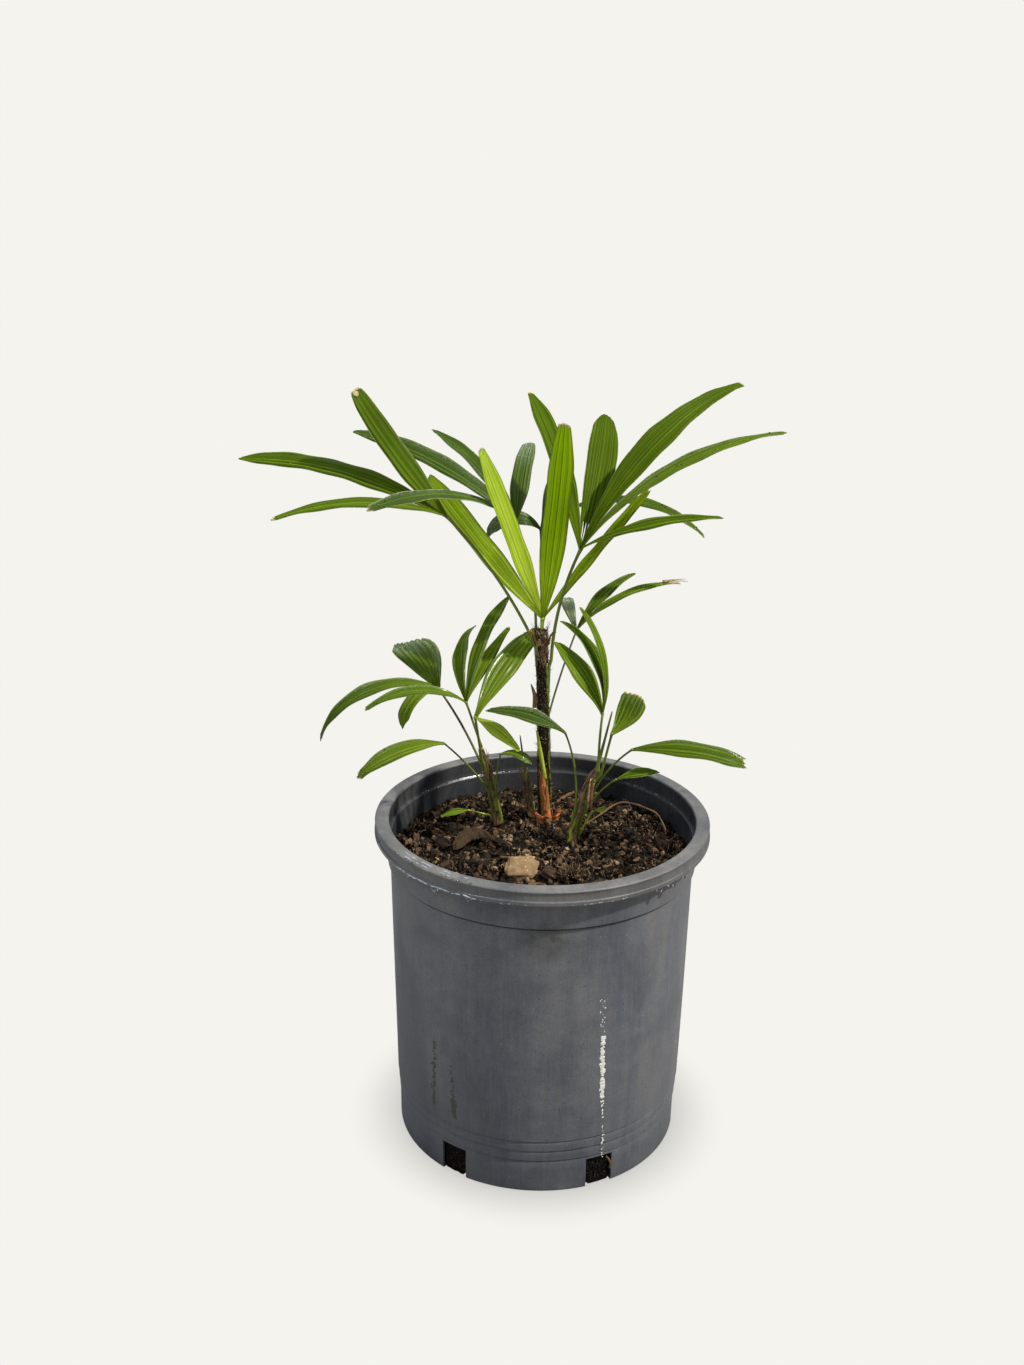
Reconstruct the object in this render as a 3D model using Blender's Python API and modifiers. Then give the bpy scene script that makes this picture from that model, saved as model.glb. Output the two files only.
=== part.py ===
"""A young lady palm in a round nursery pot.

The pot stands on z = 0 with its axis on z, and the plant's front faces -Y. Three leaning stems and two
young shoots rise from the potting mix. Every leaf is a stalk that ends in a hub, with one or more
segments fanned out from it. Stems, stalks and segments all follow one rule, a limb that starts at a
heading and a rise and bends evenly along its length.
"""

import math

import bmesh
import bpy
from mathutils import Matrix, Vector

MM = 0.001
GAP = 0.3
WELD = 0.01 * MM

# Pot, in millimetres
RIM_RADIUS = 100.0
RIM_INNER_RADIUS = 91.4
RIM_BAND = 9.6
RIM_ROUND = 1.0
BAND_TUCK = 0.4
POT_HEIGHT = 205.0
STEP_HEIGHT = 177.0
STEP_RADIUS = 91.0
STEP_FLARE = 1.4
FOOT_RADIUS = 86.4
FOOT_ROUND = 1.5
WALL = 1.5
FLOOR = 2.2
RING_HEIGHTS = (35.6, 28.8, 21.8)
RING_STEP = 0.4
NOTCHES = 6
NOTCH_FIRST = -64.0
NOTCH_WIDTH = 17.0
NOTCH_HEIGHT = 20.0
NOTCH_DEPTH = 10.0
CUTTER_OVERHANG = 1.0
POT_STEPS = 60

# Potting mix, in millimetres
MIX_EDGE_HEIGHT = 183.0
MIX_MOUND = 6.0
MIX_STEPS = 48

# Old leaf bases: rise, foot and tip width, and place off the stem's axis as shares of its radius
SCALE_RISE = 68
SCALE_FOOT = 0.62
SCALE_TIP_RADIUS = 0.25
SCALE_OFFSET = 0.45
GOLDEN_ANGLE = 137.5

# Segment blades: the outline's root, shoulder and tip as shares of the blade's width and length
ROOT_SHARE = 0.14
SHOULDER = 0.50
TAPER_FROM = 0.66
FOLD = 0.10
BLADE_STATIONS = 9
LEAST_THICKNESS = 0.9
THICKNESS_SHARE = 1 / 90
ROOT_STACK = 0.21

# Stalks: how far a stalk narrows, the ball at its hub, and the tip of an unopened leaf
STALK_TAPER = 0.85
KNUCKLE = 1.35
TOP_CLEARANCE = 0.4
SPEAR_TIP_RADIUS = 0.35

# Stems: foot on the mix (x, y), heading, rise, length, bend, foot radius and top radius
STEMS = {
    "trunk": ((1.7, 31.0), 180, 88, 121, 0, 4.6, 3.6),
    "stem_left": ((-27.2, 24.0), -150, 80, 52, 6, 3.2, 2.8),
    "stem_right": ((18.6, 1.0), -25, 82, 49, 18, 3.4, 2.9),
    "shoot_small": ((-7.1, 38.0), 188, 81, 30, 0, 2.9, 2.2),
    "shoot_young": ((3.0, 22.5), 178, 84, 42, 0, 2.8, 1.6),
}

# Old leaf bases that stand off a stem: how many, the lowest and highest place, and their length
SCALES = {
    "trunk": (9, 10, 112, 9.0),
    "stem_left": (4, 8, 46, 7.0),
    "stem_right": (4, 8, 44, 7.0),
    "shoot_small": (2, 8, 26, 6.0),
    "shoot_young": (2, 6, 14, 7.0),
}

# Leaves: stem, place up the stem, stalk (heading, rise, length, bend, radius), then the segments
# (heading, rise, roll, length, width, bend, tip width as a share of the width)
LEAVES = {
    "frond_new": ("trunk", 121, (-62, 81, 7, 0, 1.5), [
        (155, 43, -72, 116, 13, 18, 0.30),
        (189, 72, -62, 108, 12, 9, 0.25),
        (-71, 73, -6, 125, 15, -8, 0.20),
        (12, 54, 20, 100, 9, 8, 0.30),
    ]),
    "frond_left_high": ("trunk", 114, (173, 64, 90, 19, 1.3), [
        (165, 49, -34, 92, 15, -9, 0.55),
        (173, 30, -27, 141, 15, 44, 0.20),
        (195, 23, -7, 105, 15, 45, 0.25),
    ]),
    "frond_back_left": ("trunk", 112, (139, 92, 75, 31, 1.2), [
        (220, 40, -17, 104, 13, 64, 0.50),
        (174, 45, -24, 115, 15, 45, 0.25),
        (140, 55, 3, 83, 14, 43, 0.25),
        (85, 46, -3, 71, 13, 34, 0.50),
    ]),
    "frond_back_right": ("trunk", 106, (93, 58, 76, 0, 1.2), [
        (212, 60, -29, 44, 17, 142, 0.40),
        (-18, 49, 10, 113, 15, 97, 0.30),
        (70, 46, 18, 73, 12, 50, 0.30),
    ]),
    "frond_right_high": ("trunk", 103, (-14, 88, 71, 22, 1.4), [
        (134, 78, -20, 108, 12, 53, 0.25),
        (62, 53, 52, 98, 19, 28, 0.40),
        (10, 66, 41, 159, 18, 70, 0.25),
        (-10, 58, 23, 140, 14, 57, 0.20),
        (-19, 35, 16, 87, 13, 38, 0.30),
    ]),
    "frond_back_low": ("trunk", 64, (57, 64, 56, 12, 0.9), [
        (105, 40, -13, 41, 8, 51, 0.60),
        (39, 57, 4, 59, 10, 54, 0.25),
        (8, 52, 9, 74, 10, 59, 0.20),
    ]),
    "leaf_left_arch": ("stem_left", 52, (-150, 71, 32, 0, 1.1), [
        (203, 42, -10, 67, 14, 85, 0.30),
        (125, 52, -62, 71, 12, 77, 0.25),
        (80, 68, -22, 81, 9, 58, 0.20),
        (66, 40, -1, 66, 9, 25, 0.25),
    ]),
    "leaf_left_front": ("stem_left", 46, (-105, 67, 34, 0, 1.2), [
        (54, 48, 9, 78, 18, 38, 0.40),
        (-30, -8, 12, 34, 11, 42, 0.35),
    ]),
    "leaf_left_back": ("stem_left", 40, (146, 60, 53, 17, 1.1), [
        (123, 39, -9, 51, 26, 36, 0.80),
        (200, 26, -19, 95, 14, 110, 0.35),
        (225, 19, -10, 42, 10, 128, 0.50),
    ]),
    "leaf_left_low": ("stem_left", 26, (-142, 54, 46, 10, 0.9), [
        (202, 12, -20, 60, 15, 72, 0.50),
    ]),
    "leaf_left_small": ("stem_left", 24, (-50, 87, 25, 15, 0.8), [
        (-15, 29, 12, 22, 9, 90, 0.35),
    ]),
    "leaf_left_foot": ("stem_left", 4, (-168, 18, 14, 0, 0.8), [
        (189, 8, -12, 19, 7, 48, 0.45),
    ]),
    "leaf_right_fan": ("stem_right", 46, (58, 94, 36, 16, 1.1), [
        (164, 73, -25, 54, 17, 54, 0.30),
        (141, 104, -4, 69, 10, 102, 0.25),
        (124, 110, 1, 70, 7, 87, 0.25),
    ]),
    "leaf_right_round": ("stem_right", 47, (-45, 75, 29, 0, 1.1), [
        (41, 33, 5, 26, 17, -44, 0.85),
    ]),
    "leaf_right_low": ("stem_right", 32, (-21, 67, 40, 26, 0.9), [
        (-10, 14, 23, 70, 15, 44, 0.60),
    ]),
    "leaf_right_small": ("stem_right", 19, (-35, 65, 34, 26, 0.8), [
        (2, 33, 12, 27, 9, 50, 0.35),
    ]),
    "leaf_right_foot": ("stem_right", 6, (-14, 64, 14, 0, 0.9), [
        (11, 23, 0, 9, 5, 20, 0.40),
    ]),
    "leaf_cross": ("stem_right", 22, (-134, 94, 53, 32, 0.9), [
        (182, 37, -22, 50, 13, 53, 0.35),
    ]),
}

# Unopened leaves: stem, place up it, heading, rise, length, bend and foot radius
SPEARS = {
    "spear_right": ("stem_right", 49, 10, 78, 37, 0, 1.1),
    "spear_small": ("shoot_small", 30, 190, 82, 22, 0, 0.9),
    "spear_young": ("shoot_young", 42, 178, 80, 18, 0, 1.5),
}

COLOURS = {
    "pot": ((0.075, 0.083, 0.097), 0.55),
    "mix": ((0.030, 0.020, 0.014), 0.95),
    "stem": ((0.060, 0.034, 0.020), 0.85),
    "leaf": ((0.100, 0.210, 0.020), 0.45),
    "new_leaf": ((0.270, 0.420, 0.030), 0.45),
}


def clear_scene():
    for thing in list(bpy.data.objects):
        bpy.data.objects.remove(thing)


def new_collection(name):
    group = bpy.data.collections.new(name)
    bpy.context.scene.collection.children.link(group)
    return group


def material(name):
    colour, roughness = COLOURS[name]
    made = bpy.data.materials.get(name) or bpy.data.materials.new(name)
    made.use_nodes = True
    shader = made.node_tree.nodes["Principled BSDF"]
    shader.inputs["Base Color"].default_value = (*colour, 1)
    shader.inputs["Roughness"].default_value = roughness
    shader.inputs["Metallic"].default_value = 0
    return made


def mesh_object(name, mesh, group, finish=None):
    thing = bpy.data.objects.new(name, mesh)
    group.objects.link(thing)
    if finish:
        mesh.materials.clear()
        mesh.materials.append(material(finish))
        mesh.shade_smooth()
        mesh.set_sharp_from_angle(angle=math.radians(35))
    return thing


def limb_frame(heading, rise, roll):
    """Unit vectors at a limb's root: along it, across it, and out of its upper face."""
    h, e, r = (math.radians(angle) for angle in (heading, rise, roll))
    along = Vector((math.cos(e) * math.cos(h), math.cos(e) * math.sin(h), math.sin(e)))
    level = Vector((-math.sin(h), math.cos(h), 0))
    upper = along.cross(level)
    across = level * math.cos(r) + upper * math.sin(r)
    face = upper * math.cos(r) - level * math.sin(r)
    return along, across, face


def limb_at(root, heading, rise, roll, length, bend, share):
    """Place and frame at a share of a limb that bends evenly away from its upper face, in mm."""
    along, across, face = limb_frame(heading, rise, roll)
    turn = math.radians(bend) or 1e-6
    angle = turn * share
    place = root + length * (along * math.sin(angle) - face * (1 - math.cos(angle))) / turn
    ahead = along * math.cos(angle) - face * math.sin(angle)
    out = along * math.sin(angle) + face * math.cos(angle)
    return place, ahead, across, out


def mix_height(radius):
    return MIX_EDGE_HEIGHT + MIX_MOUND * (1 - (radius / pot_inner(MIX_EDGE_HEIGHT)) ** 2)


def pot_inner(height):
    """Inner radius of the pot's wall at a height."""
    share = height / STEP_HEIGHT
    return FOOT_RADIUS - WALL + share * (STEP_RADIUS - FOOT_RADIUS)


def stem_at(name, up):
    """Axis point and radius of a stem at a distance up it."""
    foot, heading, rise, length, bend, foot_radius, top_radius = STEMS[name]
    slope = MIX_MOUND * 2 * foot_radius / pot_inner(MIX_EDGE_HEIGHT)
    level = mix_height(math.hypot(*foot)) + GAP + slope
    share = up / length
    place = limb_at(Vector((*foot, level)), heading, rise, 0, length, bend, share)[0]
    return place, foot_radius + (top_radius - foot_radius) * share


def tube_mesh(points, radii, resolution=1):
    """Closed tube along a line of points in mm, with a radius at each."""
    curve = bpy.data.curves.new("tube", "CURVE")
    curve.dimensions = "3D"
    curve.bevel_depth = MM
    curve.bevel_resolution = resolution
    curve.use_fill_caps = True
    spline = curve.splines.new("POLY")
    spline.points.add(len(points) - 1)
    for knot, place, radius in zip(spline.points, points, radii):
        knot.co = (*(place * MM), 1)
        knot.radius = radius
    guide = bpy.data.objects.new("tube", curve)
    bpy.context.scene.collection.objects.link(guide)
    evaluated = guide.evaluated_get(bpy.context.evaluated_depsgraph_get())
    mesh = bpy.data.meshes.new_from_object(evaluated)
    bpy.data.objects.remove(guide)
    weld(mesh)
    return mesh


def weld(mesh):
    shape = bmesh.new()
    shape.from_mesh(mesh)
    bmesh.ops.remove_doubles(shape, verts=shape.verts, dist=WELD)
    bmesh.ops.recalc_face_normals(shape, faces=shape.faces)
    shape.to_mesh(mesh)
    shape.free()


def limb_tube(root, heading, rise, length, bend, radii, stations=6):
    shares = [step / stations for step in range(stations + 1)]
    points = [limb_at(root, heading, rise, 0, length, bend, share)[0] for share in shares]
    return tube_mesh(points, [radii[0] + (radii[1] - radii[0]) * share for share in shares])


def smooth(share):
    share = min(max(share, 0), 1)
    return share * share * (3 - 2 * share)


def blade_half_width(width, tip, share):
    """A segment widens from its root to its shoulder, then tapers to a blunt tip."""
    rising = ROOT_SHARE + (1 - ROOT_SHARE) * smooth(share / SHOULDER)
    falling = 1 - (1 - tip) * smooth((share - TAPER_FROM) / (1 - TAPER_FROM))
    return width / 2 * rising * falling


def blade_mesh(hub, heading, rise, roll, length, width, bend, tip):
    """One leaf segment: a thin folded plate along a bent limb."""
    shape = bmesh.new()
    bmesh.ops.create_grid(shape, x_segments=BLADE_STATIONS, y_segments=2, size=0.5)
    for vert in shape.verts:
        share = vert.co.x + 0.5
        side = vert.co.y * 2
        place, _, across, out = limb_at(hub, heading, rise, roll, length, bend, share)
        half = blade_half_width(width, tip, share)
        rib = -FOLD * half * (1 - abs(side))
        vert.co = (place + across * side * half + out * rib) * MM
    mesh = bpy.data.meshes.new("blade")
    shape.to_mesh(mesh)
    shape.free()
    plate = mesh_object("blade", mesh, bpy.context.scene.collection)
    shell = plate.modifiers.new("thickness", "SOLIDIFY")
    shell.thickness = max(LEAST_THICKNESS, length * THICKNESS_SHARE) * MM
    shell.offset = 0
    return settled(plate)


def ball_mesh(centre, radius):
    shape = bmesh.new()
    bmesh.ops.create_icosphere(shape, subdivisions=1, radius=radius * MM)
    bmesh.ops.translate(shape, verts=shape.verts, vec=centre * MM)
    mesh = bpy.data.meshes.new("ball")
    shape.to_mesh(mesh)
    shape.free()
    return mesh


def settled(thing):
    """The object's mesh with its modifiers applied; the object itself is removed."""
    bpy.context.view_layer.update()
    evaluated = thing.evaluated_get(bpy.context.evaluated_depsgraph_get())
    mesh = bpy.data.meshes.new_from_object(evaluated)
    bpy.data.objects.remove(thing)
    return mesh


def fuse(name, meshes, group, finish):
    """One solid from overlapping meshes, by a Boolean union on a collection."""
    mass = new_collection(name + "_mass")
    body = mesh_object(name, meshes[0], bpy.context.scene.collection)
    for mesh in meshes[1:]:
        mesh_object(name + "_piece", mesh, mass)
    if len(meshes) > 1:
        union = body.modifiers.new("union", "BOOLEAN")
        union.operation = "UNION"
        union.operand_type = "COLLECTION"
        union.collection = mass
        union.solver = "MANIFOLD"
    joined = settled(body)
    for piece in list(mass.objects):
        bpy.data.objects.remove(piece)
    bpy.data.collections.remove(mass)
    weld(joined)
    return mesh_object(name, joined, group, finish)


def turned(name, profile, steps, group, finish):
    """A solid of revolution from a profile of (radius, height) in mm, outer side downwards."""
    mesh = bpy.data.meshes.new(name)
    verts = [(radius * MM, 0, height * MM) for radius, height in profile]
    mesh.from_pydata(verts, [(k, k + 1) for k in range(len(verts) - 1)], [])
    thing = mesh_object(name, mesh, group)
    screw = thing.modifiers.new("turn", "SCREW")
    screw.steps = steps
    screw.render_steps = steps
    screw.use_merge_vertices = True
    screw.merge_threshold = 0.00005
    return mesh_object(name, settled(thing), group, finish)


def pot_profile():
    inner_foot = pot_inner(FLOOR)
    band_foot = POT_HEIGHT - RIM_BAND
    profile = [
        (0, FLOOR),
        (inner_foot, FLOOR),
        (pot_inner(band_foot), band_foot - RIM_ROUND),
        (RIM_INNER_RADIUS, band_foot),
        (RIM_INNER_RADIUS, POT_HEIGHT - RIM_ROUND),
        (RIM_INNER_RADIUS + RIM_ROUND, POT_HEIGHT),
        (RIM_RADIUS - RIM_ROUND, POT_HEIGHT),
        (RIM_RADIUS, POT_HEIGHT - RIM_ROUND),
        (RIM_RADIUS, band_foot + RIM_ROUND),
        (RIM_RADIUS - RIM_ROUND, band_foot - BAND_TUCK),
        (STEP_RADIUS + STEP_FLARE * 2, band_foot - BAND_TUCK),
        (STEP_RADIUS + STEP_FLARE, STEP_HEIGHT + RIM_ROUND),
        (STEP_RADIUS, STEP_HEIGHT),
    ]
    top_ring = RING_HEIGHTS[0]
    slope = (STEP_RADIUS - FOOT_RADIUS - RING_STEP * len(RING_HEIGHTS)) / STEP_HEIGHT
    radius = STEP_RADIUS - slope * (STEP_HEIGHT - top_ring)
    for height in RING_HEIGHTS:
        profile += [(radius, height + RING_STEP), (radius - RING_STEP, height - RING_STEP)]
        radius -= RING_STEP
    profile += [(FOOT_RADIUS, FOOT_ROUND), (FOOT_RADIUS - FOOT_ROUND, 0), (0, 0)]
    return profile


def make_pot(group, cutters):
    pot = turned("pot", pot_profile(), POT_STEPS, group, "pot")
    reach = NOTCH_DEPTH * 2
    for k in range(NOTCHES):
        bpy.ops.mesh.primitive_cube_add(size=1)
        cutter = bpy.context.object
        cutter.name = f"notch_cutter_{k}"
        turn = Matrix.Rotation(math.radians(NOTCH_FIRST + 360 / NOTCHES * k), 4, "Z")
        centre = FOOT_RADIUS - NOTCH_DEPTH + reach / 2
        height = NOTCH_HEIGHT + CUTTER_OVERHANG
        place = Matrix.Translation(Vector((centre, 0, NOTCH_HEIGHT - height / 2)) * MM)
        size = Matrix.Diagonal((reach * MM, NOTCH_WIDTH * MM, height * MM, 1))
        cutter.data.transform(turn @ place @ size)
        for old in list(cutter.users_collection):
            old.objects.unlink(cutter)
        cutters.objects.link(cutter)
        cutter.hide_render = True
        cutter.display_type = "WIRE"
    cut = pot.modifiers.new("notches", "BOOLEAN")
    cut.operation = "DIFFERENCE"
    cut.operand_type = "COLLECTION"
    cut.collection = cutters


def make_mix(group):
    foot = FLOOR + GAP
    edge = pot_inner(MIX_EDGE_HEIGHT) - GAP
    rings = [edge * share for share in (0, 0.2, 0.4, 0.6, 0.8)]
    profile = [(radius, mix_height(radius)) for radius in rings]
    profile += [(edge, MIX_EDGE_HEIGHT), (pot_inner(foot) - GAP, foot), (0, foot)]
    turned("potting_mix", profile, MIX_STEPS, group, "mix")


def scale_mesh(stem, up, azimuth, length):
    """An old leaf base: a flattened cone that leans off its stem."""
    axis, radius = stem_at(stem, up)
    along = limb_frame(azimuth, SCALE_RISE, 0)[0]
    outward = Vector((math.cos(math.radians(azimuth)), math.sin(math.radians(azimuth)), 0))
    shape = bmesh.new()
    bmesh.ops.create_cone(
        shape,
        cap_ends=True,
        segments=6,
        radius1=radius * SCALE_FOOT * MM,
        radius2=SCALE_TIP_RADIUS * MM,
        depth=length * MM,
    )
    turn = Vector((0, 0, 1)).rotation_difference(along).to_matrix().to_4x4()
    centre = axis + outward * radius * SCALE_OFFSET + along * length / 2
    shape.transform(Matrix.Translation(centre * MM) @ turn)
    mesh = bpy.data.meshes.new("scale")
    shape.to_mesh(mesh)
    shape.free()
    return mesh


def make_stem(name, group):
    length = STEMS[name][3]
    stations = max(4, round(length / 12))
    ups = [length * step / stations for step in range(stations + 1)]
    points, radii = zip(*(stem_at(name, up) for up in ups))
    meshes = [tube_mesh(points, radii, resolution=2)]
    count, low, high, scale_length = SCALES[name]
    for k in range(count):
        up = low + (high - low) * k / (count - 1)
        meshes.append(scale_mesh(name, up, 180 + GOLDEN_ANGLE * k, scale_length))
    fuse(name, meshes, group, "stem")


def stalk_root(stem, up, heading, radius):
    """Where a stalk starts, just clear of its stem's side, or of its top above the stem's end."""
    axis, stem_radius = stem_at(stem, min(up, STEMS[stem][3]))
    if up >= STEMS[stem][3]:
        return axis + Vector((0, 0, TOP_CLEARANCE))
    h = math.radians(heading)
    return axis + Vector((math.cos(h), math.sin(h), 0)) * (stem_radius + radius + GAP)


def make_leaf(name, group):
    stem, up, (heading, rise, length, bend, radius), segments = LEAVES[name]
    root = stalk_root(stem, up, heading, radius)
    hub = limb_at(root, heading, rise, 0, length, bend, 1)[0]
    meshes = [limb_tube(root, heading, rise, length, bend, (radius, radius * STALK_TAPER))]
    meshes.append(ball_mesh(hub, radius * KNUCKLE))
    for k, segment in enumerate(segments):
        meshes.append(blade_mesh(hub + Vector((0, 0, ROOT_STACK * k)), *segment))
    fuse(name, meshes, group, "new_leaf" if name == "frond_new" else "leaf")


def make_spear(name, group):
    stem, up, heading, rise, length, bend, radius = SPEARS[name]
    root = stalk_root(stem, up, heading, radius)
    fuse(name, [limb_tube(root, heading, rise, length, bend, (radius, SPEAR_TIP_RADIUS), 4)], group, "leaf")


def build():
    clear_scene()
    palm = new_collection("lady_palm")
    cutters = new_collection("cutters")
    make_mix(palm)
    for name in STEMS:
        make_stem(name, palm)
    for name in LEAVES:
        make_leaf(name, palm)
    for name in SPEARS:
        make_spear(name, palm)
    make_pot(palm, cutters)


build()
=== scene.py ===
"""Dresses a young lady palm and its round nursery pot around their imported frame.

Sizes are in millimetres and angles in degrees, unless a comment says otherwise. The pot stands on
z = 0 with its axis on z, and the plant's front faces -Y. Stems, stalks and leaf segments follow the
same rule as the solids: a limb leaves its root at a heading and a rise and bends evenly along its
length. Materials measure in metres.
"""

import math

import bmesh
import bpy
import numpy as np
from mathutils import Matrix, Vector, noise


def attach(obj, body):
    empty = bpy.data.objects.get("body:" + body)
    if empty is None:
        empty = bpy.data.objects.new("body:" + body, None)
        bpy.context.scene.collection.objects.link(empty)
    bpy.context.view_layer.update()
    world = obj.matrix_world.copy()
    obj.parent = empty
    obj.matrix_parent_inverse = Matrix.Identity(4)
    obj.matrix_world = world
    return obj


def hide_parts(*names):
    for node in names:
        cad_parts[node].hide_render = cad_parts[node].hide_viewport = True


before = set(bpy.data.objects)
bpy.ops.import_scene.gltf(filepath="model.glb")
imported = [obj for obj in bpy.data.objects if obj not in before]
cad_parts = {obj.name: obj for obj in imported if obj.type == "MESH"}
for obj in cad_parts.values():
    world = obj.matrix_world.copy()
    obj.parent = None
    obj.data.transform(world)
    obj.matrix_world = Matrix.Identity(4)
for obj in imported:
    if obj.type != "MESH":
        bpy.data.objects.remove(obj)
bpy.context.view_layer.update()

MM = 0.001
FULL_TURN = 2 * math.pi

# Pot
RIM_RADIUS = 100.0
RIM_INNER_RADIUS = 91.4
POT_HEIGHT = 205.0
BAND_FOOT = 195.4
INNER_WALL_TOP = 193.5
LIP_ROUNDING = 0.8
SHOULDER_RADIUS = 92.5
STEP_HEIGHT = 177.0
STEP_RADIUS = 91.0
FOOT_RADIUS = 86.4
FOOT_ROUNDING = 1.5
WALL = 1.5
FLOOR = 2.2
RING_HEIGHTS = (35.6, 28.8, 21.8)
RING_STEP = 0.4
NOTCHES = 6
NOTCH_FIRST = -64.0
NOTCH_WIDTH = 17.0
NOTCH_HEIGHT = 20.0
NOTCH_DEPTH = 10.0
POT_STEPS = 240
POT_CREASE = 38

# Where the shell's finish changes: the rim's band, its lip, and the azimuths where the lip is wet
BAND_HEIGHTS = (195.2, 203.2)
BAND_RADIUS = 97.0
LIP_RADIUS = 98.4
LIP_TOP = 198.8
WET_AZIMUTHS = (197, 262)

# Runs down the wall, white marks painted as the glint of a wet trickle and dried dirt: finish,
# azimuths and heights of their ends, how many marks, their least and greatest size, how far they
# stray in degrees, and how far they stand out as a share of their size
WALL_RUNS = (
    ("chalk", (-65.5, -64.4), (104, 62), 130, (0.35, 1.35), 0.27, 0.16),
    ("chalk", (-66.2, -65.4), (130, 104), 22, (0.2, 0.5), 0.6, 0.16),
    ("chalk", (-64.4, -63.2), (62, 20), 44, (0.2, 0.6), 0.25, 0.16),
    ("dirt", (-132.4, -133.8), (92, 38), 90, (0.3, 0.95), 0.45, 0.1),
    ("dirt", (-124.2, -123.0), (82, 41), 70, (0.3, 0.95), 0.5, 0.1),
    ("dirt", (-123.4, -123.0), (56, 42), 40, (0.5, 1.2), 0.5, 0.1),
)

# Drops that hang under the rim: azimuth and size
HANGING_DROPS = ((-126.5, 2.1), (-113.5, 1.9), (-48.0, 2.0), (-42.5, 2.2), (-34.5, 1.7), (-139, 1.2))

# Drops on the rim and on the step inside it: azimuths, radius, height and how many
RIM_DROPS = (
    (-150, -112, 99.2, 204.6, 34),
    (95, 150, 90.4, 194.6, 40),
    (25, 62, 90.4, 194.6, 26),
    (-155, -100, 99.6, 198.0, 22),
)

# Thin pale lines painted as gleams of water on the same places: azimuths, radius, height, how many and
# how thick
RIM_GLEAMS = (
    (-146, -112, RIM_RADIUS - 0.1, 196.6, 60, 0.34),
    (-146, -116, 95.0, 204.75, 46, 0.3),
    (-142, -122, 97.6, 204.6, 26, 0.24),
    (-110, -60, RIM_RADIUS - 0.1, 196.4, 20, 0.2),
    (92, 150, 91.9, 204.2, 24, 0.13),
    (95, 150, 90.4, 194.7, 18, 0.11),
    (25, 62, 90.4, 194.7, 16, 0.13),
)

# Potting mix
MIX_EDGE_HEIGHT = 183.0
MIX_MOUND = 6.0
GAP = 0.3
MIX_SIDES = 260
NOTCH_CRUMBS = 130

# Crumbs of the mix: finish, piece, how many, least and greatest size, seed
CRUMB_KINDS = (
    ("dark_crumb", "mix_crumbs_dark", 3400, (0.7, 2.3), 71),
    ("brown_crumb", "mix_crumbs_brown", 2700, (0.55, 2.1), 72),
    ("tan_crumb", "mix_crumbs_tan", 1500, (0.35, 1.35), 73),
    ("pale_fleck", "mix_flecks_pale", 110, (0.3, 0.6), 74),
)

# Fibres on the mix: finish, how many, and their least and greatest length and thickness
MIX_STRANDS = (
    ("brown_crumb", 900, (2, 9), (0.12, 0.34)),
    ("tan_crumb", 620, (2, 8), (0.1, 0.28)),
    ("dark_crumb", 260, (4, 12), (0.25, 0.6)),
    ("pale_fleck", 60, (2, 5), (0.1, 0.18)),
)

# A long bare root that arches over the right side of the mix
LONG_ROOT = (
    (26, 24, 187), (36, 33, 190), (46, 45, 192), (54, 45, 193),
    (63, 40, 192.5), (71, 34, 191), (75, 24, 187.5), (76, 19, 184),
)

# Twigs on the mix: three places, their heights above it, and thickness
TWIGS = (
    (((-82, 52), (-74, 49), (-66, 45)), (2.2, 1.8, 1.4), 1.0),
    (((9, 59), (14, 68), (20, 77)), (1, 3, 4.5), 1.1),
    (((-27, 69), (-22, 64), (-16, 58)), (3.0, 2.2, 1.0), 0.9),
    (((-24, -25), (-16, -27.5), (-7, -28.5)), (2.4, 2.6, 2.2), 0.8),
    (((-45, 8), (-41, 12), (-36, 15)), (3.4, 3.6, 3.2), 1.0),
    (((-32, 17), (-28, 12), (-23, 5)), (2.2, 2.4, 1.8), 1.0),
    (((61, 8), (66, 2), (70, -1)), (1.4, 1.8, 1.2), 0.8),
    (((24, -30), (33, -33), (41, -29)), (1.4, 2.2, 1.4), 0.8),
)

# A root that shows in the front notch: radius, angle past the notch's middle in radians, height
NOTCH_ROOT = ((84.6, -0.015, 17), (86.0, 0.0, 15), (86.3, 0.012, 12), (85.8, 0.014, 8.6))

# Chips on the mix: place, length, width, thickness, how far turned and tilted, finish
CHIPS = (
    ((-10.8, -41.5), 18.5, 15, 5.0, -2, 26, "bark_chip"),
    ((-2.2, -57.5), 10, 5, 2.2, 0, 10, "root"),
    ((59, 3), 9, 5, 2.0, 60, 14, "litter"),
    ((-30, -46), 9, 6, 2.5, 30, 16, "brown_crumb"),
    ((5, -47), 10, 8, 5.0, 75, 20, "brown_crumb"),
    ((-54, -30), 11, 7, 3.0, 40, 14, "litter"),
    ((33, -52), 9, 6, 3.0, 20, 12, "brown_crumb"),
    ((-62, 10), 8, 5, 2.2, -30, 12, "brown_crumb"),
)

# The fallen leaf's raised edge and its lower edge
LEAF_RAISED_EDGE = (
    (-53, -13, 189.5), (-49.5, -4, 192.5), (-43, 1, 194.3), (-35, -1.5, 193.8), (-24, -11, 190.4)
)
LEAF_LOWER_EDGE = (
    (-52, -19, 188.5), (-47, -17, 189.2), (-42, -9, 190), (-34, -6, 190.4), (-23, -11.5, 190)
)

# Clump of coarse fibre: its place, and its distance from the pot's axis
FIBRE_CLUMP = (18.5, -44.5)
FIBRE_CLUMP_RADIUS = 48

# Leaf segments
ROOT_SHARE = 0.14
FOLD = 0.1
SEGMENT_THICKNESS = 0.35
ROOT_STACK = 0.21
CURL_FROM = 0.72
GOLDEN_ANGLE = 137.5
ACROSS_START = 50

# Rows of quads at a segment's tip that are dry, and their finish
DRY_ENDS = {
    "toothed": (1, "edge"),
    "frayed": (2, "cream"),
    "ragged": (1, "dry"),
    "cream": (4, "cream"),
    "split": (9, "dry"),
}

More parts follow.
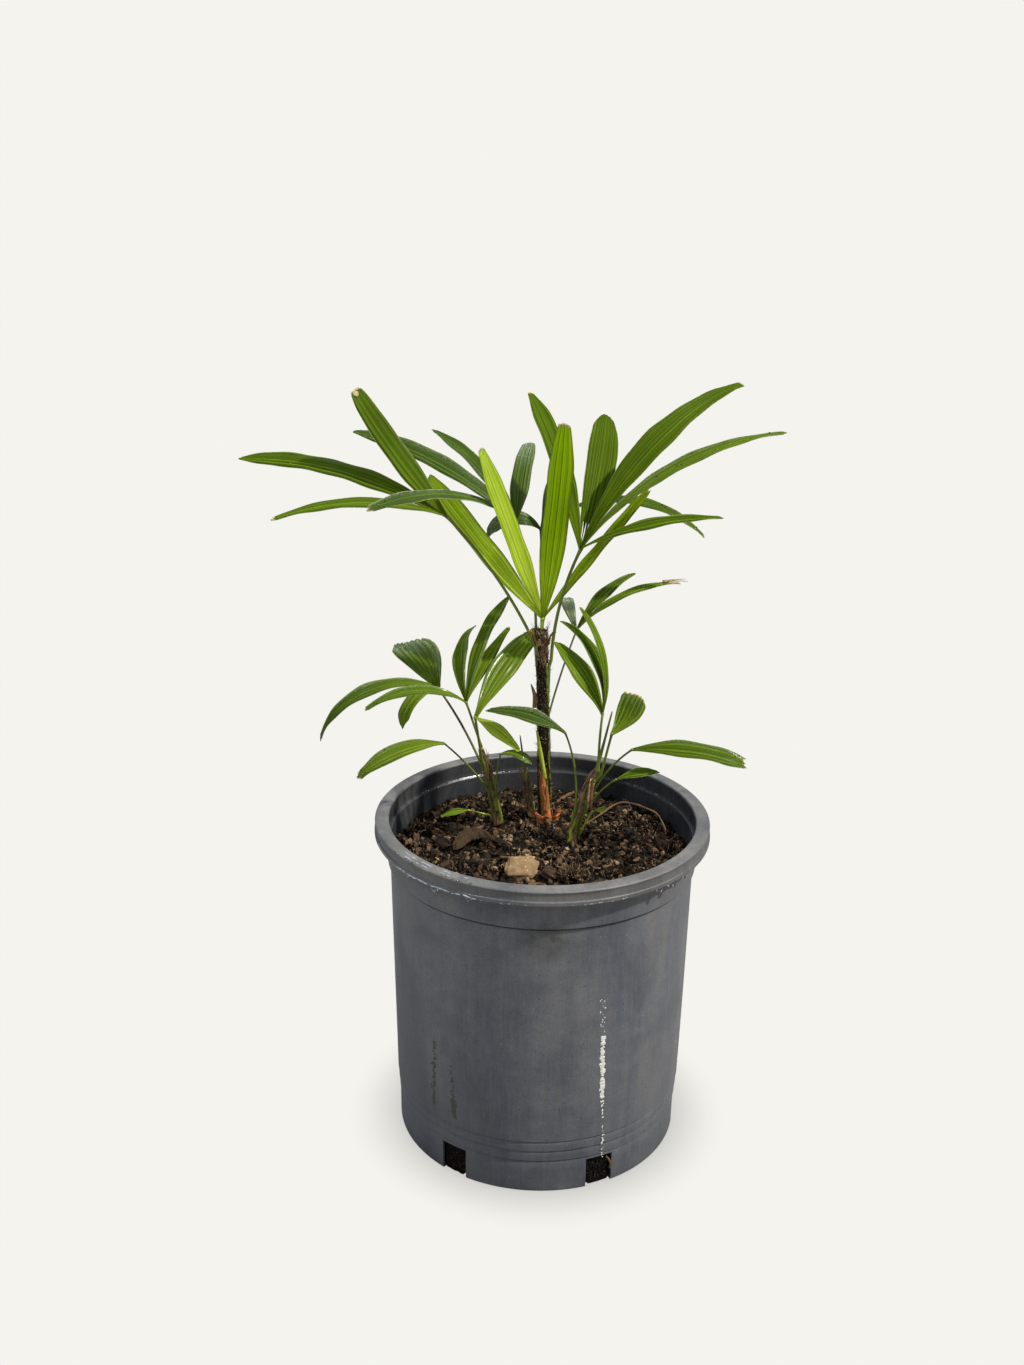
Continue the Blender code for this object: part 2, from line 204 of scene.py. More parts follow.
# Outline of a segment: where it reaches its full width and how slowly, where it starts to narrow
# and how late
OUTLINES = {
    "strap": (0.42, 1.3, 0.7, 2.2),
    "lance": (0.5, 1.5, 0.52, 1.25),
    "paddle": (0.68, 1.2, 0.8, 2.6),
    "slit_paddle": (0.68, 1.0, 0.8, 2.6),
    "fan": (0.36, 1.0, 0.7, 2.0),
}

# Stems: foot on the mix (x, y), heading, rise, length, bend, foot radius and top radius
STEMS = {
    "trunk": ((1.7, 31.0), 180, 88, 121, 0, 4.6, 3.6),
    "stem_left": ((-27.2, 24.0), -150, 80, 52, 6, 3.2, 2.8),
    "stem_right": ((18.6, 1.0), -25, 82, 49, 18, 3.4, 2.9),
    "shoot_small": ((-7.1, 38.0), 188, 81, 30, 0, 2.9, 2.2),
    "shoot_young": ((3.0, 22.5), 178, 84, 42, 0, 2.8, 1.6),
}

# Old leaf bases round each stem: how many, the lowest and highest place, and their length
SHEATHS = {
    "trunk": (11, 4, 104, 15.0),
    "stem_left": (7, 1, 36, 20.0),
    "stem_right": (7, 1, 34, 20.0),
    "shoot_small": (5, 1, 18, 16.0),
    "shoot_young": (6, 0, 12, 24.0),
}
SHEATH_SPREAD = 60
SHEATH_LEAN = 0.5

# How each stem is clad: the bark's finish and its share of the stem's radius, the old leaf bases'
# finishes in turn, and their share of the radius, or None where they close in towards the top
CLADDING = {
    "trunk": ("bark", 0.84, ("dark_sheath",), 0.8),
    "stem_left": ("sheath", 0.78, ("sheath", "green_sheath", "sheath"), None),
    "stem_right": ("sheath", 0.78, ("sheath", "green_sheath", "sheath"), None),
    "shoot_small": ("straw", 0.6, ("straw", "sheath"), 0.62),
    "shoot_young": ("rust", 0.78, ("green_sheath", "rust", "sheath", "rust"), 0.9),
}
BARK_SIDES = 44

# Green stalk feet that run down the stems: stem, azimuth, low end, high end, radius, finish
GREEN_STRIPS = (
    ("trunk", -24, 4, 101, 1.05, "stalk"),
    ("trunk", 14, 30, 104, 0.9, "stalk"),
    ("trunk", -150, 92, 113, 0.7, "stalk"),
    ("stem_left", -20, -2, 34, 1.0, "young_stalk"),
    ("stem_right", -125, -2, 18, 1.25, "young_stalk"),
    ("stem_right", -75, 10, 46, 0.8, "stalk"),
    ("shoot_small", -40, -1, 28, 0.7, "young_stalk"),
)
STRIP_STEPS = 26

# Torn sheaths at the trunk's top: azimuth, place up it, height, width, lean outwards, finish
TORN_SHEATHS = (
    (195, 114, 9, 2.6, 3.4, "rust"),
    (165, 111, 8, 2.2, 2.2, "sheath"),
    (-18, 114, 9, 2.6, 3.4, "rust"),
    (20, 112, 9, 2.4, 3.0, "sheath"),
    (-60, 113, 6, 2.2, 1.0, "sheath"),
    (-110, 112, 6, 2.4, 1.2, "sheath"),
    (95, 113, 8, 2.6, 2.2, "sheath"),
    (-85, 108, 7, 1.8, 1.2, "sheath"),
)
OLD_SPIKE_UP = 78
OLD_SPIKE_AZIMUTH = 192

# Bracts at the shoots' feet: place, heading, height, width, lean outwards
BRACTS = (
    ((0.2, 19.4), -105, 12, 9.5, 3.0),
    ((7.0, 22.0), -35, 11, 7.0, 3.0),
    ((-2.6, 22.0), -150, 14, 6.5, 1.8),
    ((3.6, 19.4), -75, 7.5, 5.0, 2.0),
    ((-5.6, 33.0), -160, 9, 4.0, 1.6),
    ((9.4, 28.5), 10, 12, 4.0, 2.2),
    ((3.8, 27.0), 80, 13, 6.0, 1.0),
)

# Leaves: stem, place up it, stalk (heading, rise, length, bend, radius), the stalk's tone, and the
# segments: (heading, rise, roll, length, width, bend, tip width as a share), ribs, tone, outline,
# ending, curl of the tip and how wet the upper face is, which sets its dew drops, its wet coat and
# the pale sheen painted on it as reflected sky
LEAVES = {
    "frond_new": ("trunk", 121, (-62, 81, 7, 0, 1.5), "young", [
        ((155, 43, -72, 116, 13, 18, 0.35), 3, "fresh", "strap", "toothed", 0, 0.2),
        ((189, 72, -62, 108, 12, 9, 0.35), 3, "fresh", "strap", "toothed", 0, 0.1),
        ((-71, 73, -6, 125, 15, -8, 0.45), 4, "young", "strap", "frayed", 0, 0.2),
        ((12, 54, 20, 100, 9, 8, 0.45), 3, "young", "strap", "ragged", 0, 0.0),
    ]),
    "frond_left_high": ("trunk", 114, (173, 64, 90, 19, 1.3), "green", [
        ((165, 49, -34, 92, 15, -9, 0.5), 4, "middle", "strap", "frayed", 0, 0.1),
        ((173, 30, -27, 141, 15, 44, 0.25), 4, "middle", "strap", "pointed", 0, 0.1),
        ((195, 23, -7, 105, 15, 45, 0.35), 4, "middle", "strap", "frayed", 0, 0.2),
    ]),
    "frond_back_left": ("trunk", 112, (139, 92, 75, 31, 1.2), "green", [
        ((220, 40, -17, 104, 13, 64, 0.5), 3, "deep", "strap", "ragged", 0, 0.8),
        ((174, 45, -24, 115, 15, 45, 0.35), 4, "deep", "strap", "round", 0, 0.6),
        ((140, 55, 3, 83, 14, 43, 0.3), 4, "deep", "strap", "pointed", 0, 0.4),
        ((85, 46, -3, 71, 11.5, 34, 0.72), 5, "deep", "fan", "round", 0, 0.7),
    ]),
    "frond_back_right": ("trunk", 106, (93, 58, 76, 0, 1.2), "dark", [
        ((212, 60, -29, 44, 18, 142, 0.55), 6, "deep", "fan", "round", 0, 0.8),
        ((-18, 49, 10, 113, 15, 97, 0.3), 3, "middle", "lance", "toothed", 0, 0.5),
        ((70, 46, 18, 73, 12, 50, 0.3), 3, "deep", "lance", "pointed", 0, 0.3),
    ]),
    "frond_right_high": ("trunk", 103, (-14, 88, 71, 22, 1.4), "green", [
        ((134, 78, -20, 108, 12, 53, 0.3), 3, "middle", "strap", "frayed", 0, 0.0),
        ((62, 53, 52, 98, 21, 28, 0.48), 5, "lush", "slit_paddle", "round", 0, 0.0),
        ((10, 66, 41, 159, 18, 70, 0.25), 4, "lush", "lance", "toothed", 0, 0.0),
        ((-10, 58, 23, 140, 14, 57, 0.22), 4, "bright", "lance", "pointed", 0, 0.75),
        ((-19, 35, 16, 87, 13, 38, 0.3), 3, "middle", "lance", "pointed", 0, 0.1),
    ]),
    "frond_back_low": ("trunk", 64, (57, 64, 56, 12, 0.9), "dark", [
        ((105, 40, -13, 41, 8, 51, 0.7), 3, "pale", "paddle", "round", 0, 1.0),
        ((39, 57, 4, 59, 10, 54, 0.25), 3, "middle", "lance", "pointed", 0, 0.5),
        ((8, 52, 9, 74, 9, 59, 0.25), 3, "bright", "lance", "split", 0, 0.3),
    ]),
    "leaf_left_arch": ("stem_left", 52, (-150, 71, 32, 0, 1.1), "green", [
        ((203, 42, -10, 67, 14, 85, 0.3), 4, "middle", "lance", "toothed", 0, 0.8),
        ((125, 52, -62, 71, 12, 77, 0.25), 4, "middle", "lance", "pointed", 0, 0.4),
        ((80, 68, -22, 81, 9, 58, 0.25), 3, "middle", "strap", "pointed", 0, 0.4),
        ((66, 40, -1, 66, 9, 25, 0.3), 3, "bright", "lance", "pointed", 0, 0.1),
    ]),
    "leaf_left_front": ("stem_left", 46, (-105, 67, 34, 0, 1.2), "green", [
        ((54, 48, 9, 79, 18, 38, 0.45), 5, "bright", "lance", "round", 0, 0.7),
        ((-30, -8, 12, 34, 11, 42, 0.4), 3, "fresh", "lance", "round", 0, 0.1),
    ]),
    "leaf_left_back": ("stem_left", 40, (146, 60, 53, 17, 1.1), "dark", [
        ((123, 39, -9, 51, 28, 36, 0.8), 7, "middle", "paddle", "toothed", 25, 1.0),
        ((200, 26, -19, 95, 14, 110, 0.35), 4, "middle", "lance", "pointed", 0, 0.7),
        ((225, 19, -10, 42, 10, 128, 0.5), 3, "bright", "strap", "pointed", 0, 0.2),
    ]),
    "leaf_left_low": ("stem_left", 26, (-142, 54, 46, 10, 0.9), "brown_tip", [
        ((202, 12, -20, 60, 15, 72, 0.5), 4, "bright", "lance", "ragged", 0, 0.5),
    ]),
    "leaf_left_small": ("stem_left", 24, (-50, 87, 25, 15, 0.8), "green", [
        ((-15, 29, 12, 22, 9, 90, 0.45), 4, "bright", "paddle", "round", 0, 0.6),
    ]),
    "leaf_left_foot": ("stem_left", 4, (-168, 18, 14, 0, 0.8), "young", [
        ((189, 8, -12, 19, 7, 48, 0.45), 3, "bright", "lance", "cream", 0, 0.2),
    ]),
    "leaf_right_fan": ("stem_right", 46, (58, 94, 36, 16, 1.1), "green", [
        ((164, 73, -25, 54, 17, 54, 0.3), 5, "bright", "lance", "pointed", 0, 0.3),
        ((141, 104, -4, 69, 9, 102, 0.25), 3, "middle", "lance", "pointed", 0, 0.2),
        ((124, 110, 1, 70, 4.5, 87, 0.3), 2, "bright", "strap", "pointed", 0, 0.1),
    ]),
    "leaf_right_round": ("stem_right", 47, (-45, 75, 29, 0, 1.1), "brown_tip", [
        ((41, 33, 5, 29, 19, -40, 0.85), 6, "bright", "paddle", "cream", 45, 0.2),
    ]),
    "leaf_right_low": ("stem_right", 32, (-21, 67, 40, 26, 0.9), "brown_tip", [
        ((-10, 14, 23, 70, 13.8, 44, 0.62), 5, "middle", "strap", "ragged", 0, 0.4),
    ]),
    "leaf_right_small": ("stem_right", 19, (-35, 65, 34, 26, 0.8), "green", [
        ((2, 33, 12, 27, 9, 50, 0.35), 3, "middle", "lance", "pointed", 0, 0.2),
    ]),
    "leaf_right_foot": ("stem_right", 6, (-14, 64, 14, 0, 0.9), "young", [
        ((11, 23, 0, 9, 5, 20, 0.4), 2, "bright", "lance", "round", 0, 0.2),
    ]),
    "leaf_cross": ("stem_right", 22, (-134, 94, 53, 32, 0.9), "brown_tip", [
        ((182, 37, -22, 50, 13, 53, 0.3), 5, "deep", "lance", "pointed", 0, 0.7),
    ]),
}

# Unopened leaves: stem, place up it, heading, rise, length, bend, foot radius and tone
SPEARS = {
    "spear_right": ("stem_right", 49, 10, 78, 37, 0, 1.1, "dark"),
    "spear_small": ("shoot_small", 30, 190, 82, 22, 0, 0.9, "dark"),
    "spear_young": ("shoot_young", 42, 178, 80, 18, 0, 1.5, "young"),
}

# How far down its stem a stalk's foot clasps it, and its distance from the axis as a share of the
# stem's radius
CLASP = ((32, 0.35), (26, 0.5), (20, 0.62), (14, 0.75), (9, 0.85), (4.5, 0.95))

# Leaf tones: upper face, its paler foot, under side, rib, rib of the under side and furrow, whose darker
# colour is painted shade in the pleats' valleys, then the roughness, how much light comes through and
# how much gloss it has
TONES = {
    "fresh": ((0.5, 0.65, 0.022), (0.56, 0.67, 0.05), (0.5, 0.64, 0.03), (0.82, 0.84, 0.38),
              (0.7, 0.74, 0.24), (0.27, 0.36, 0.004), 0.4, 0.62, 0.08),
    "young": ((0.265, 0.375, 0.003), (0.62, 0.7, 0.07), (0.35, 0.46, 0.006), (0.56, 0.64, 0.09),
              (0.5, 0.56, 0.08), (0.12, 0.2, 0.002), 0.4, 0.6, 0.08),
    "bright": ((0.125, 0.222, 0.002), (0.2, 0.29, 0.006), (0.15, 0.24, 0.006), (0.26, 0.35, 0.03),
               (0.23, 0.3, 0.03), (0.058, 0.118, 0.001), 0.34, 0.38, 0.06),
    "middle": ((0.078, 0.134, 0.001), (0.115, 0.19, 0.002), (0.085, 0.15, 0.003), (0.125, 0.2, 0.008),
               (0.15, 0.215, 0.01), (0.018, 0.046, 0.001), 0.34, 0.32, 0.05),
    "lush": ((0.068, 0.12, 0.001), (0.11, 0.18, 0.002), (0.085, 0.145, 0.003), (0.12, 0.19, 0.005),
             (0.11, 0.18, 0.008), (0.01, 0.028, 0.001), 0.34, 0.32, 0.05),
    "deep": ((0.027, 0.062, 0.001), (0.048, 0.092, 0.002), (0.048, 0.092, 0.004), (0.06, 0.112, 0.012),
             (0.095, 0.15, 0.012), (0.006, 0.018, 0.001), 0.28, 0.22, 0.08),
    "pale": ((0.17, 0.215, 0.085), (0.19, 0.24, 0.06), (0.18, 0.225, 0.09), (0.27, 0.31, 0.16),
             (0.26, 0.3, 0.15), (0.11, 0.15, 0.04), 0.32, 0.3, 0.45),
}
UNDER_RIB_ROUGHNESS = 0.5
# Pale sheen painted on wet upper margins and on the ends of paddles and fans, standing in for reflected sky
PAINTED_SKY_SHEEN = (0.46, 0.54, 0.4)

# Finishes of dry leaf margins and tips
MARGINS = {
    "edge": ("leaf_edge", (0.23, 0.27, 0.06)),
    "cream": ("cream_torn_edge", (0.55, 0.44, 0.22)),
    "dry": ("dry_leaf_tip", (0.36, 0.29, 0.13)),
}

# Finishes of stalks: green and darkened colour
STALKS = {
    "stalk": ("stalk_skin", (0.15, 0.21, 0.02), (0.04, 0.025, 0.014)),
    "young_stalk": ("young_stalk_skin", (0.36, 0.44, 0.03), (0.14, 0.17, 0.02)),
}
STALK_STAIN = (0.11, 0.075, 0.03)

# Fibrous finishes: light and dark colour, then roughness and the streaks' scale where they differ
BARKS = {
    "bark": ("black_bark", (0.022, 0.018, 0.01), (0.004, 0.004, 0.003), 0.6),
    "dark_sheath": ("dark_sheath", (0.034, 0.03, 0.012), (0.007, 0.008, 0.004), 0.5),
    "sheath": ("brown_sheath", (0.34, 0.205, 0.095), (0.055, 0.032, 0.016)),
    "straw": ("straw_sheath", (0.54, 0.41, 0.21), (0.22, 0.145, 0.065)),
    "rust": ("rust_sheath", (0.6, 0.205, 0.058), (0.07, 0.024, 0.01), 0.6, 560.0),
    "green_sheath": ("green_sheath", (0.17, 0.22, 0.02), (0.05, 0.065, 0.01), 0.55),
    "fibre": ("dark_fibre", (0.05, 0.032, 0.017), (0.009, 0.006, 0.004)),
    "brown_fibre": ("brown_fibre", (0.26, 0.16, 0.075), (0.06, 0.036, 0.018)),
    "tan_fibre": ("tan_fibre", (0.52, 0.39, 0.23), (0.2, 0.13, 0.07)),
}

# Grainy finishes: light and dark colour, then roughness where it differs
GRAINS = {
    # Near black: the mix's own damp colour, darkened further as painted shade in the gaps between the
    # crumbs
    "mix": ("damp_mix", (0.007, 0.005, 0.0035), (0.002, 0.0015, 0.001)),
    "dark_crumb": ("dark_crumb", (0.034, 0.021, 0.0125), (0.002, 0.0015, 0.001), 0.8),
    "brown_crumb": ("brown_crumb", (0.22, 0.131, 0.07), (0.014, 0.0085, 0.005)),
    "tan_crumb": ("tan_crumb", (0.46, 0.33, 0.2), (0.1, 0.065, 0.036)),
    "pale_fleck": ("pale_fleck", (0.62, 0.53, 0.38), (0.36, 0.29, 0.19)),
    "bark_chip": ("bark_chip", (0.52, 0.37, 0.21), (0.17, 0.105, 0.05)),
    "litter": ("fallen_leaf", (0.088, 0.054, 0.027), (0.03, 0.018, 0.01)),
    "root": ("pale_root", (0.26, 0.155, 0.08), (0.1, 0.055, 0.028)),
    # Pale finish painted as glints of water on the rim and on the hanging drops
    "wet_gleam": ("wet_gleam", (0.84, 0.86, 0.88), (0.5, 0.53, 0.56), 0.25),
    # White marks painted as the glint of a wet trickle down the wall
    "chalk": ("chalky_water_mark", (0.92, 0.91, 0.88), (0.62, 0.61, 0.58), 0.55),
    "dirt": ("dried_dirt_run", (0.12, 0.112, 0.088), (0.075, 0.07, 0.056)),
}

# Finishes of the pot: plastic, dust, how much of the dust lies there, roughness
PLASTICS = {
    "pot": ("charcoal_plastic", (0.053, 0.061, 0.08), (0.152, 0.146, 0.14), 0.46, 0.42),
    "pot_rim": ("rubbed_rim", (0.066, 0.068, 0.071), (0.155, 0.149, 0.139), 0.6, 0.44),
    "pot_inside": ("damp_inside", (0.026, 0.029, 0.034), (0.07, 0.069, 0.067), 0.45, 0.24),
    "wet_lip": ("wet_lip", (0.07, 0.075, 0.085), (0.15, 0.145, 0.14), 0.3, 0.06),
    "rim_face": ("rubbed_rim_face", (0.058, 0.06, 0.064), (0.138, 0.132, 0.124), 0.6, 0.42),
}
DAMP_PATCH = (0.003, -0.092, 0.17)
DAMP_COLOUR = (0.032, 0.033, 0.029)
# Colour of the shadow painted under the front of the rim's lip
PAINTED_LIP_SHADOW_COLOUR = (0.012, 0.014, 0.019)

# Stage: the backdrop, the sky's colours and strength, and its strength in mirrored light
BACKDROP = (0.905, 0.896, 0.855)
GROUND_LIGHT = (0.1, 0.095, 0.085)
HORIZON_LIGHT = (0.3, 0.32, 0.35)
ZENITH_LIGHT = (1.00, 1.08, 1.22)
SKY_STRENGTH = 0.85
MIRRORED_SKY = 0.36
FLOOR_REACH = 60.0

# Sun lamps: azimuth, height, strength, softness, colour, and whether wet faces mirror them
SUNS = {
    "sun": (-20, 50, 5.2, 3, (1.0, 0.955, 0.87), True),
    "back_glow": (100, 38, 3.2, 25, (1.0, 0.98, 0.94), False),
}

# Camera: place in metres, lens, sensor, and how far it looks down, aside and is rolled
CAMERA_PLACE = (0, -0.8305, 0.5868)
CAMERA_LENS = 40.17
CAMERA_SENSOR = 36
CAMERA_TURN = (19.79, -1.32, 0.76)


# Helpers for shader trees


def set_inputs(tree, node, inputs):
    """Sets a node's inputs to values, or links them to other sockets."""
    for key, value in inputs.items():
        if isinstance(value, bpy.types.NodeSocket):
            tree.links.new(value, node.inputs[key])
        else:
            node.inputs[key].default_value = value


def add_node(tree, kind, inputs=None, **settings):
    """A shader node with its settings and its inputs."""
    made = tree.nodes.new("ShaderNode" + kind)
    for key, value in settings.items():
        setattr(made, key, value)
    set_inputs(tree, made, inputs or {})
    return made


def maths(tree, operation, first, second=0.0, clamp=False):
    """One step of arithmetic on values or sockets."""
    return add_node(tree, "Math", {0: first, 1: second}, operation=operation, use_clamp=clamp).outputs[0]


def product(tree, first, *others):
    """Several values multiplied."""
    for other in others:
        first = maths(tree, "MULTIPLY", first, other)
    return first


def total(tree, first, *others):
    """Several values added."""
    for other in others:
        first = maths(tree, "ADD", first, other)
    return first


def ranged(tree, value, low, high, to_low=0.0, to_high=1.0):
    """A value mapped from low..high to to_low..to_high, held within it."""
    settings = {"Value": value, "From Min": low, "From Max": high, "To Min": to_low, "To Max": to_high}
    return add_node(tree, "MapRange", settings).outputs[0]


def blended(tree, share, first, second, way="MIX"):
    """A colour between two colours or sockets."""
    mix = add_node(tree, "Mix", data_type="RGBA", blend_type=way)
    for socket, value in ((mix.inputs[0], share), (mix.inputs[6], first), (mix.inputs[7], second)):
        if isinstance(value, bpy.types.NodeSocket):
            tree.links.new(value, socket)
        else:
            socket.default_value = (*value, 1) if isinstance(value, tuple) else value
    return mix.outputs[2]


def tinted(tree, skin, mask, share, colour):
    """A skin turned towards a colour, by a share where the mask is 1."""
    return blended(tree, ranged(tree, mask, 0, 1, 0.0, share), skin, colour)


def scaled(colour, factor):
    """A lighter or darker colour."""
    return tuple(min(1, c * factor) for c in colour)


def marked(tree, mark):
    """A mark that the mesh carries on its points."""
    return add_node(tree, "Attribute", attribute_name=mark).outputs["Fac"]


def object_place(tree):
    """A point's place in the object, in metres."""
    return add_node(tree, "TexCoord").outputs["Object"]


def new_effect(name, inputs, output):
    """An empty node group with float inputs (name: default) and one float output."""
    tree = bpy.data.node_groups.new(name, "ShaderNodeTree")
    kind = "NodeSocketFloat"
    for label, value in inputs.items():
        tree.interface.new_socket(label, in_out="INPUT", socket_type=kind).default_value = value
    tree.interface.new_socket(output, in_out="OUTPUT", socket_type=kind)
    return tree, tree.nodes.new("NodeGroupInput").outputs, tree.nodes.new("NodeGroupOutput").inputs[0]


def effect(tree, name, **inputs):
    """Output of a shared effect with its own values. An underscore stands for a space."""
    made = tree.nodes.new("ShaderNodeGroup")
    made.node_tree = bpy.data.node_groups[name]
    for key, value in inputs.items():
        made.inputs[key.replace("_", " ")].default_value = value
    return made.outputs[0]


def make_effects():
    """The shared effects: cloudy mottle, upright streaks, fine veins and specks."""
    limits = {"Low": 0.35, "High": 0.65}
    tree, given, result = new_effect("mottle", {"Scale": 100.0, **limits}, "Value")
    where = object_place(tree)
    cloud = add_node(tree, "TexNoise", {"Vector": where, "Scale": given["Scale"], "Detail": 5.0})
    tree.links.new(ranged(tree, cloud.outputs[0], given["Low"], given["High"]), result)

    inputs = {"Scale": 200.0, "Drawn Out": 0.06, **limits}
    tree, given, result = new_effect("upright streaks", inputs, "Value")
    where = add_node(tree, "SeparateXYZ", {0: object_place(tree)}).outputs
    drawn = product(tree, where["Z"], given["Drawn Out"])
    spot = add_node(tree, "CombineXYZ", {"X": where["X"], "Y": where["Y"], "Z": drawn}).outputs[0]
    cloud = add_node(tree, "TexNoise", {"Vector": spot, "Scale": given["Scale"], "Detail": 6.0})
    tree.links.new(ranged(tree, cloud.outputs[0], given["Low"], given["High"]), result)

    tree, given, result = new_effect("fine veins", {"Spacing": 0.8}, "Height")
    turns = product(tree, maths(tree, "DIVIDE", marked(tree, "across"), given["Spacing"]), FULL_TURN)
    wave = product(tree, total(tree, maths(tree, "SINE", turns), 1.0), 0.5)
    tree.links.new(wave, result)

    tree, given, result = new_effect("specks", {"Scale": 400.0, "Size": 0.25, "Share": 0.3}, "Mask")
    cells = add_node(tree, "TexVoronoi", {"Vector": object_place(tree), "Scale": given["Scale"]}).outputs
    near = maths(tree, "LESS_THAN", cells["Distance"], given["Size"])
    chance = add_node(tree, "SeparateColor", {0: cells["Color"]}).outputs[0]
    mask = product(tree, near, maths(tree, "LESS_THAN", chance, given["Share"]))
    tree.links.new(mask, result)


# Finishes


def new_finish(name):
    """A material with its shader tree and its surface."""
    made = bpy.data.materials.new(name)
    made.use_nodes = True
    tree = made.node_tree
    return made, tree, tree.nodes["Principled BSDF"]


def raised(tree, surface, height, strength, distance):
    """Gives a surface relief from a height, with the distance in millimetres."""
    bump = add_node(tree, "Bump", {"Height": height, "Strength": strength, "Distance": distance * MM})
    tree.links.new(bump.outputs[0], surface.inputs["Normal"])


def lit_through(tree, surface, colour, share):
    """Lets some light through a thin leaf."""
    through = add_node(tree, "BsdfTranslucent", {"Color": colour})
    mix = add_node(tree, "MixShader", {0: share, 1: surface.outputs[0], 2: through.outputs[0]})
    tree.links.new(mix.outputs[0], tree.nodes["Material Output"].inputs["Surface"])


def leaf_finish(name, colour, foot_colour, roughness, glow, gloss):
    """Leaf skin with lengthwise veins in two sizes, a paler foot, cloudy variation, a wet coat where dew
    lies and a pale sheen painted there as reflected sky.
    """
    made, tree, surface = new_finish(name)
    broad = effect(tree, "fine veins", Spacing=1.7)
    fine = effect(tree, "fine veins", Spacing=0.62)
    cloud = effect(tree, "mottle", Scale=55.0)
    grain = effect(tree, "mottle", Scale=520.0)
    beads = effect(tree, "specks", Scale=1100.0, Size=0.42, Share=0.55)
    dewy = marked(tree, "dewy")
    dark = scaled(colour, 0.3)
    veins = total(tree, product(tree, broad, 0.6), product(tree, fine, 0.4))
    skin = blended(tree, marked(tree, "rootward"), colour, foot_colour)
    skin = tinted(tree, skin, cloud, 0.28, dark)
    skin = blended(tree, ranged(tree, veins, 0.25, 0.95, 0.0, 0.78), skin, dark)
    # Painted sheen: paler in beads where the mark is high, standing in for reflected sky
    painted_sheen = product(tree, dewy, ranged(tree, beads, 0, 1, 0.18, 0.7))
    skin = blended(tree, painted_sheen, skin, PAINTED_SKY_SHEEN)
    set_inputs(tree, surface, {
        "Base Color": skin,
        "Roughness": ranged(tree, grain, 0, 1, roughness - 0.06, roughness + 0.12),
        "Specular IOR Level": gloss,
        "Coat Weight": maths(tree, "MULTIPLY", dewy, 1.0, clamp=True),
        "Coat Roughness": 0.16,
    })
    raised(tree, surface, total(tree, veins, product(tree, grain, 0.06)), 0.22, 0.1)
    lighter = min(2.1, 0.92 / max(colour))
    lit_through(tree, surface, blended(tree, 0.55, skin, scaled(colour, lighter)), glow)
    return made


def edge_finish(name, colour):
    """Dry margin of a leaf segment."""
    made, tree, surface = new_finish(name)
    cloud = effect(tree, "mottle", Scale=500.0)
    skin = blended(tree, cloud, colour, scaled(colour, 0.5))
    set_inputs(tree, surface, {"Base Color": skin, "Roughness": 0.6})
    raised(tree, surface, cloud, 0.3, 0.1)
    return made


def stalk_finish(name, green, dark):
    """Smooth stalk, green or darkened where its mark says."""
    made, tree, surface = new_finish(name)
    streaks = effect(tree, "upright streaks", Scale=900.0, Drawn_Out=0.08)
    cloud = effect(tree, "mottle", Scale=260.0)
    skin = blended(tree, marked(tree, "age"), green, dark)
    skin = tinted(tree, skin, streaks, 0.45, scaled(green, 0.55))
    skin = tinted(tree, skin, cloud, 0.25, STALK_STAIN)
    set_inputs(tree, surface, {
        "Base Color": skin,
        "Roughness": ranged(tree, cloud, 0, 1, 0.34, 0.55),
        "Specular IOR Level": 0.3,
    })
    raised(tree, surface, streaks, 0.4, 0.12)
    return made


def bark_finish(name, light, dark, roughness=0.85, scale=700.0):
    """Fibrous sheath or bark, streaked along the stem and mottled."""
    made, tree, surface = new_finish(name)
    streaks = effect(tree, "upright streaks", Scale=scale, Drawn_Out=0.12)
    cloud = effect(tree, "mottle", Scale=330.0, Low=0.3, High=0.7)
    broad = effect(tree, "mottle", Scale=60.0)
    skin = blended(tree, streaks, dark, light)
    skin = tinted(tree, skin, cloud, 0.55, scaled(dark, 0.45))
    skin = tinted(tree, skin, broad, 0.35, light)
    set_inputs(tree, surface, {
        "Base Color": skin,
        "Roughness": ranged(tree, cloud, 0, 1, roughness - 0.15, roughness + 0.1),
        "Specular IOR Level": 0.2,
    })
    raised(tree, surface, total(tree, streaks, cloud), 0.8, 0.25)
    return made


def crumb_finish(name, light, dark, roughness=0.9, scale=900.0):
    """Grainy mix, chip or fibre, with pale and dark grains; each crumb has its own tint."""
    made, tree, surface = new_finish(name)
    cloud = effect(tree, "mottle", Scale=scale * 0.35, Low=0.3, High=0.7)
    grain = effect(tree, "mottle", Scale=scale * 1.6, Low=0.3, High=0.7)
    specks = effect(tree, "specks", Scale=scale, Size=0.28, Share=0.1)
    lightness = total(tree, product(tree, cloud, 0.35), product(tree, marked(tree, "tint"), 0.75))
    skin = blended(tree, maths(tree, "MINIMUM", lightness, 1.0), dark, light)
    skin = tinted(tree, skin, grain, 0.5, scaled(dark, 0.4))
    skin = tinted(tree, skin, specks, 0.5, scaled(light, 1.8))
    set_inputs(tree, surface, {
        "Base Color": skin,
        "Roughness": ranged(tree, cloud, 0, 1, roughness - 0.2, roughness),
        "Specular IOR Level": 0.12,
    })
    raised(tree, surface, grain, 0.7, 0.3)
    return made


def damp_patch(tree, where, cloud):
    """Mask of the damp patch on the front of the wall."""
    away = add_node(tree, "VectorMath", {0: where, 1: DAMP_PATCH}, operation="DISTANCE").outputs["Value"]
    return product(tree, ranged(tree, away, 0.005, 0.017, 1.0, 0.0), ranged(tree, cloud, 0, 1, 0.9, 0.5))


def painted_lip_shadow(tree, spot):
    """Mask of a shadow painted as a dark line under the front of the rim's lip."""
    aside = maths(tree, "ABSOLUTE", total(tree, spot["X"], 0.013))
    return product(
        tree,
        ranged(tree, spot["Z"], 0.192, 0.1938),
        ranged(tree, aside, 0.018, 0.032, 1.0, 0.0),
        ranged(tree, spot["Z"], 0.1955, 0.1958, 1.0, 0.0),
        ranged(tree, spot["Y"], -0.06, -0.05, 0.85, 0.0),
    )


